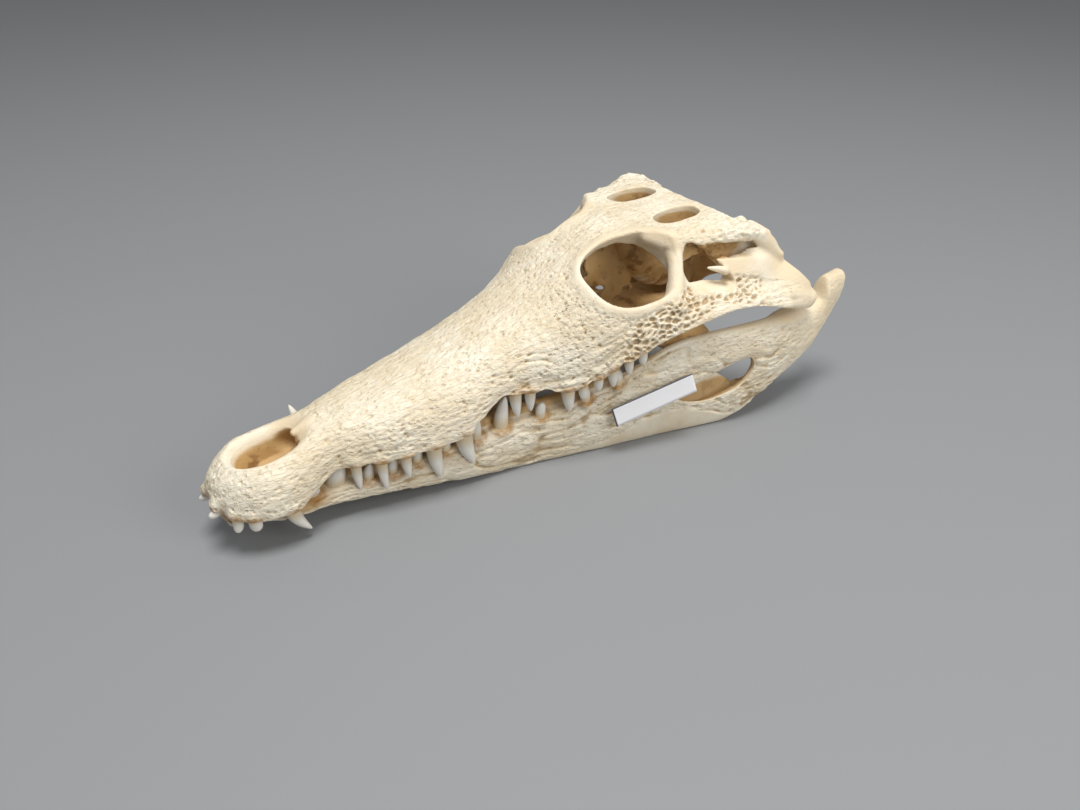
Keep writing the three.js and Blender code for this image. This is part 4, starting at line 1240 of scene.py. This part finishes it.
def cranium_regions(bone):
    """1 premaxillae, 2 and 3 the right and left maxilla, 4 roof, 5 and 6 the right and left cheek, 7 base."""
    x, y, z = np.ix_(*bone.axes)
    wave = 1.2 * np.sin(y * 1.1 + 0.4 * z) + 0.8 * np.sin(z * 1.7)
    side = np.where(y > 0.8 * np.sin(x * 0.9), 0, 1)
    along = x + wave
    roof = z > np.interp(x, [120, 150], [58, 73]) + wave * 0.5
    inner = (np.abs(y) < BRAINCASE_HALF_WIDTH) | (z < at(TOOTH_LINE, x) - 1.5)
    return np.select(
        [along < PREMAXILLA_END, along < MAXILLA_END, roof, inner], [1, 2 + side, 4, 7], 5 + side,
    ).astype(np.uint8)


def jaw_regions(bone):
    """1 dentary and splenial, 2 surangular, angular and articular."""
    x, y, z = np.ix_(*bone.axes)
    return np.where(x + 2 * np.sin(z * 0.9) + 0.15 * z + 0 * y < DENTARY_END, 1, 2).astype(np.uint8)


BONE_FINISH = bone_finish()
ENAMEL = tooth_finish()
CRANIUM_NAMES = ["premaxillae", "right_maxilla", "left_maxilla", "skull_roof", "right_cheek", "left_cheek",
                 "braincase_and_palate"]
cranium = cranium_bone()
upper_roots = [upper_root(tooth) for tooth in UPPER_TEETH]
lower_roots = [lower_root(tooth) for tooth in LOWER_TEETH]
carve(cranium, cranium_regions(cranium), CRANIUM_NAMES, cranium_relief, upper_roots, BONE_FINISH, "cranium")
jaw = jaw_bone()
for side, flip in (("right", False), ("left", True)):
    names = [side + "_dentary", side + "_jaw_rear"]
    carve(jaw, jaw_regions(jaw), names, jaw_relief, lower_roots, BONE_FINISH, side + "_lower_jaw", flip)

teeth("upper_teeth", [(upper_roots, 1), (upper_roots, -1)], ENAMEL, "cranium")
teeth("right_lower_teeth", [(lower_roots + [lower_root(RIGHT_NOTCH_TOOTH)], 1)], ENAMEL, "right_lower_jaw")
teeth("left_lower_teeth", [(lower_roots + [lower_root(LEFT_NOTCH_TOOTH)], -1)], ENAMEL, "left_lower_jaw")


TAG_LENGTH = 35
TAG_HEIGHT = 8
TAG_THICKNESS = 0.16


def tag_sheet():
    """A card as a closed sheet, its face barely bowed and its front end lifted a little."""
    columns, rows = 34, 9
    u, v = np.meshgrid(np.linspace(0, 1, columns), np.linspace(0, 1, rows), indexing="ij")
    bow = 0.1 * np.cos((u - 0.5) * np.pi) + 0.08 * (1 - u) ** 6
    face = np.stack([(u - 0.5) * TAG_LENGTH, -0.05 - bow, (v - 0.5) * TAG_HEIGHT], -1)
    back = face + (0, TAG_THICKNESS, 0)
    grid = np.arange(columns * rows).reshape(columns, rows)
    front_quads = np.stack([grid[:-1, :-1], grid[1:, :-1], grid[1:, 1:], grid[:-1, 1:]], -1).reshape(-1, 4)
    rim = np.concatenate([grid[:, 0], grid[-1, 1:], grid[-2::-1, -1], grid[0, -2:0:-1]])
    after = np.roll(rim, -1)
    size = grid.size
    edge_quads = np.stack([rim, rim + size, after + size, after], -1)
    quads = np.concatenate([front_quads, front_quads[:, ::-1] + size, edge_quads])
    places = np.concatenate([face.reshape(-1, 3), back.reshape(-1, 3)])
    flat = np.stack([u, v], -1).reshape(-1, 2)
    uv = np.concatenate([flat, flat])[quads].reshape(-1, 2)
    return places, quads, uv


TAG_PLACE = (159.4, -38.8, 22.9)
TAG_TURN = (-0.2, -0.27, -0.25)  # about x, y and z, in radians; z is turned last
places, quads, uv = tag_sheet()
sx, sy, sz = np.sin(TAG_TURN)
cx, cy, cz = np.cos(TAG_TURN)
turn = (
    np.array([[cz, -sz, 0], [sz, cz, 0], [0, 0, 1]])
    @ np.array([[cy, 0, sy], [0, 1, 0], [-sy, 0, cy]])
    @ np.array([[1, 0, 0], [0, cx, -sx], [0, sx, cx]])
)
tag = into_mesh("paper_card", places @ turn.T + TAG_PLACE, quads, uv=uv)
tag.data.materials.append(paper_finish())
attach(tag, "root")
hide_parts("paper_tag")


# ---------- floor, light and camera ----------
FLOOR_HALF_WIDTH = 3000


def floor_finish():
    """Plain pale grey, all but even."""
    f = Finish("pale_floor")
    soft = f.noise(f.place(), 6.0, 3.0)
    colour = f.mix(soft * 0.2, (0.27, 0.28, 0.292), (0.295, 0.305, 0.32))
    return f.shader(Base_Color=colour, Roughness=0.6 + 0.05 * soft)


def stage():
    """One large square under the skull."""
    corners = np.array([(-1, -1, 0), (1, -1, 0), (1, 1, 0), (-1, 1, 0)]) * FLOOR_HALF_WIDTH - TIP
    floor = into_mesh("floor", corners, np.array([[0, 1, 2, 3]]))
    floor.data.materials.append(floor_finish())


def lamp(name, place, size, watts, tint):
    """A round soft lamp that faces the skull."""
    data = bpy.data.lights.new(name, "AREA")
    data.shape = "DISK"
    data.size = size
    data.energy = watts
    data.color = tint
    made = bpy.data.objects.new(name, data)
    bpy.context.scene.collection.objects.link(made)
    made.location = place
    made.rotation_euler = (Vector(LAMP_TARGET) - Vector(place)).to_track_quat("-Z", "Y").to_euler()


CAMERA_PLACE = (-0.16335, -0.2409, 0.1991)
CAMERA_TARGET = (-0.0029, -0.0087, 0.0161)
CAMERA_ROLL = 0.01109
CAMERA_LENS = 28.31
LAMP_TARGET = (0, 0, 0.03)


def camera():
    """Looks down on the left side of the snout from in front, turned a little about its own line of sight."""
    data = bpy.data.cameras.new("camera")
    data.sensor_width = 36
    data.lens = CAMERA_LENS
    data.clip_start = 0.01
    place = Vector(CAMERA_PLACE)
    back = (place - Vector(CAMERA_TARGET)).normalized()
    level = Vector((0, 0, 1)).cross(back).normalized()
    upright = back.cross(level)
    cos, sin = np.cos(CAMERA_ROLL), np.sin(CAMERA_ROLL)
    turned = Matrix((level * cos + upright * sin, upright * cos - level * sin, back)).transposed().to_4x4()
    made = bpy.data.objects.new("camera", data)
    made.matrix_world = Matrix.Translation(place) @ turned
    bpy.context.scene.collection.objects.link(made)
    bpy.context.scene.camera = made


stage()
camera()
lamp("key", (-0.1, -0.2, 1.15), 0.45, 11.0, (1.0, 0.985, 0.96))
lamp("fill", (0.35, -0.95, 0.55), 0.7, 5.0, (1.0, 0.99, 0.97))
world = bpy.data.worlds.new("studio")
world.use_nodes = True
background = world.node_tree.nodes["Background"]
background.inputs["Color"].default_value = (0.97, 0.98, 1, 1)
background.inputs["Strength"].default_value = 0.3
bpy.context.scene.world = world
bpy.context.scene.view_settings.view_transform = "Standard"
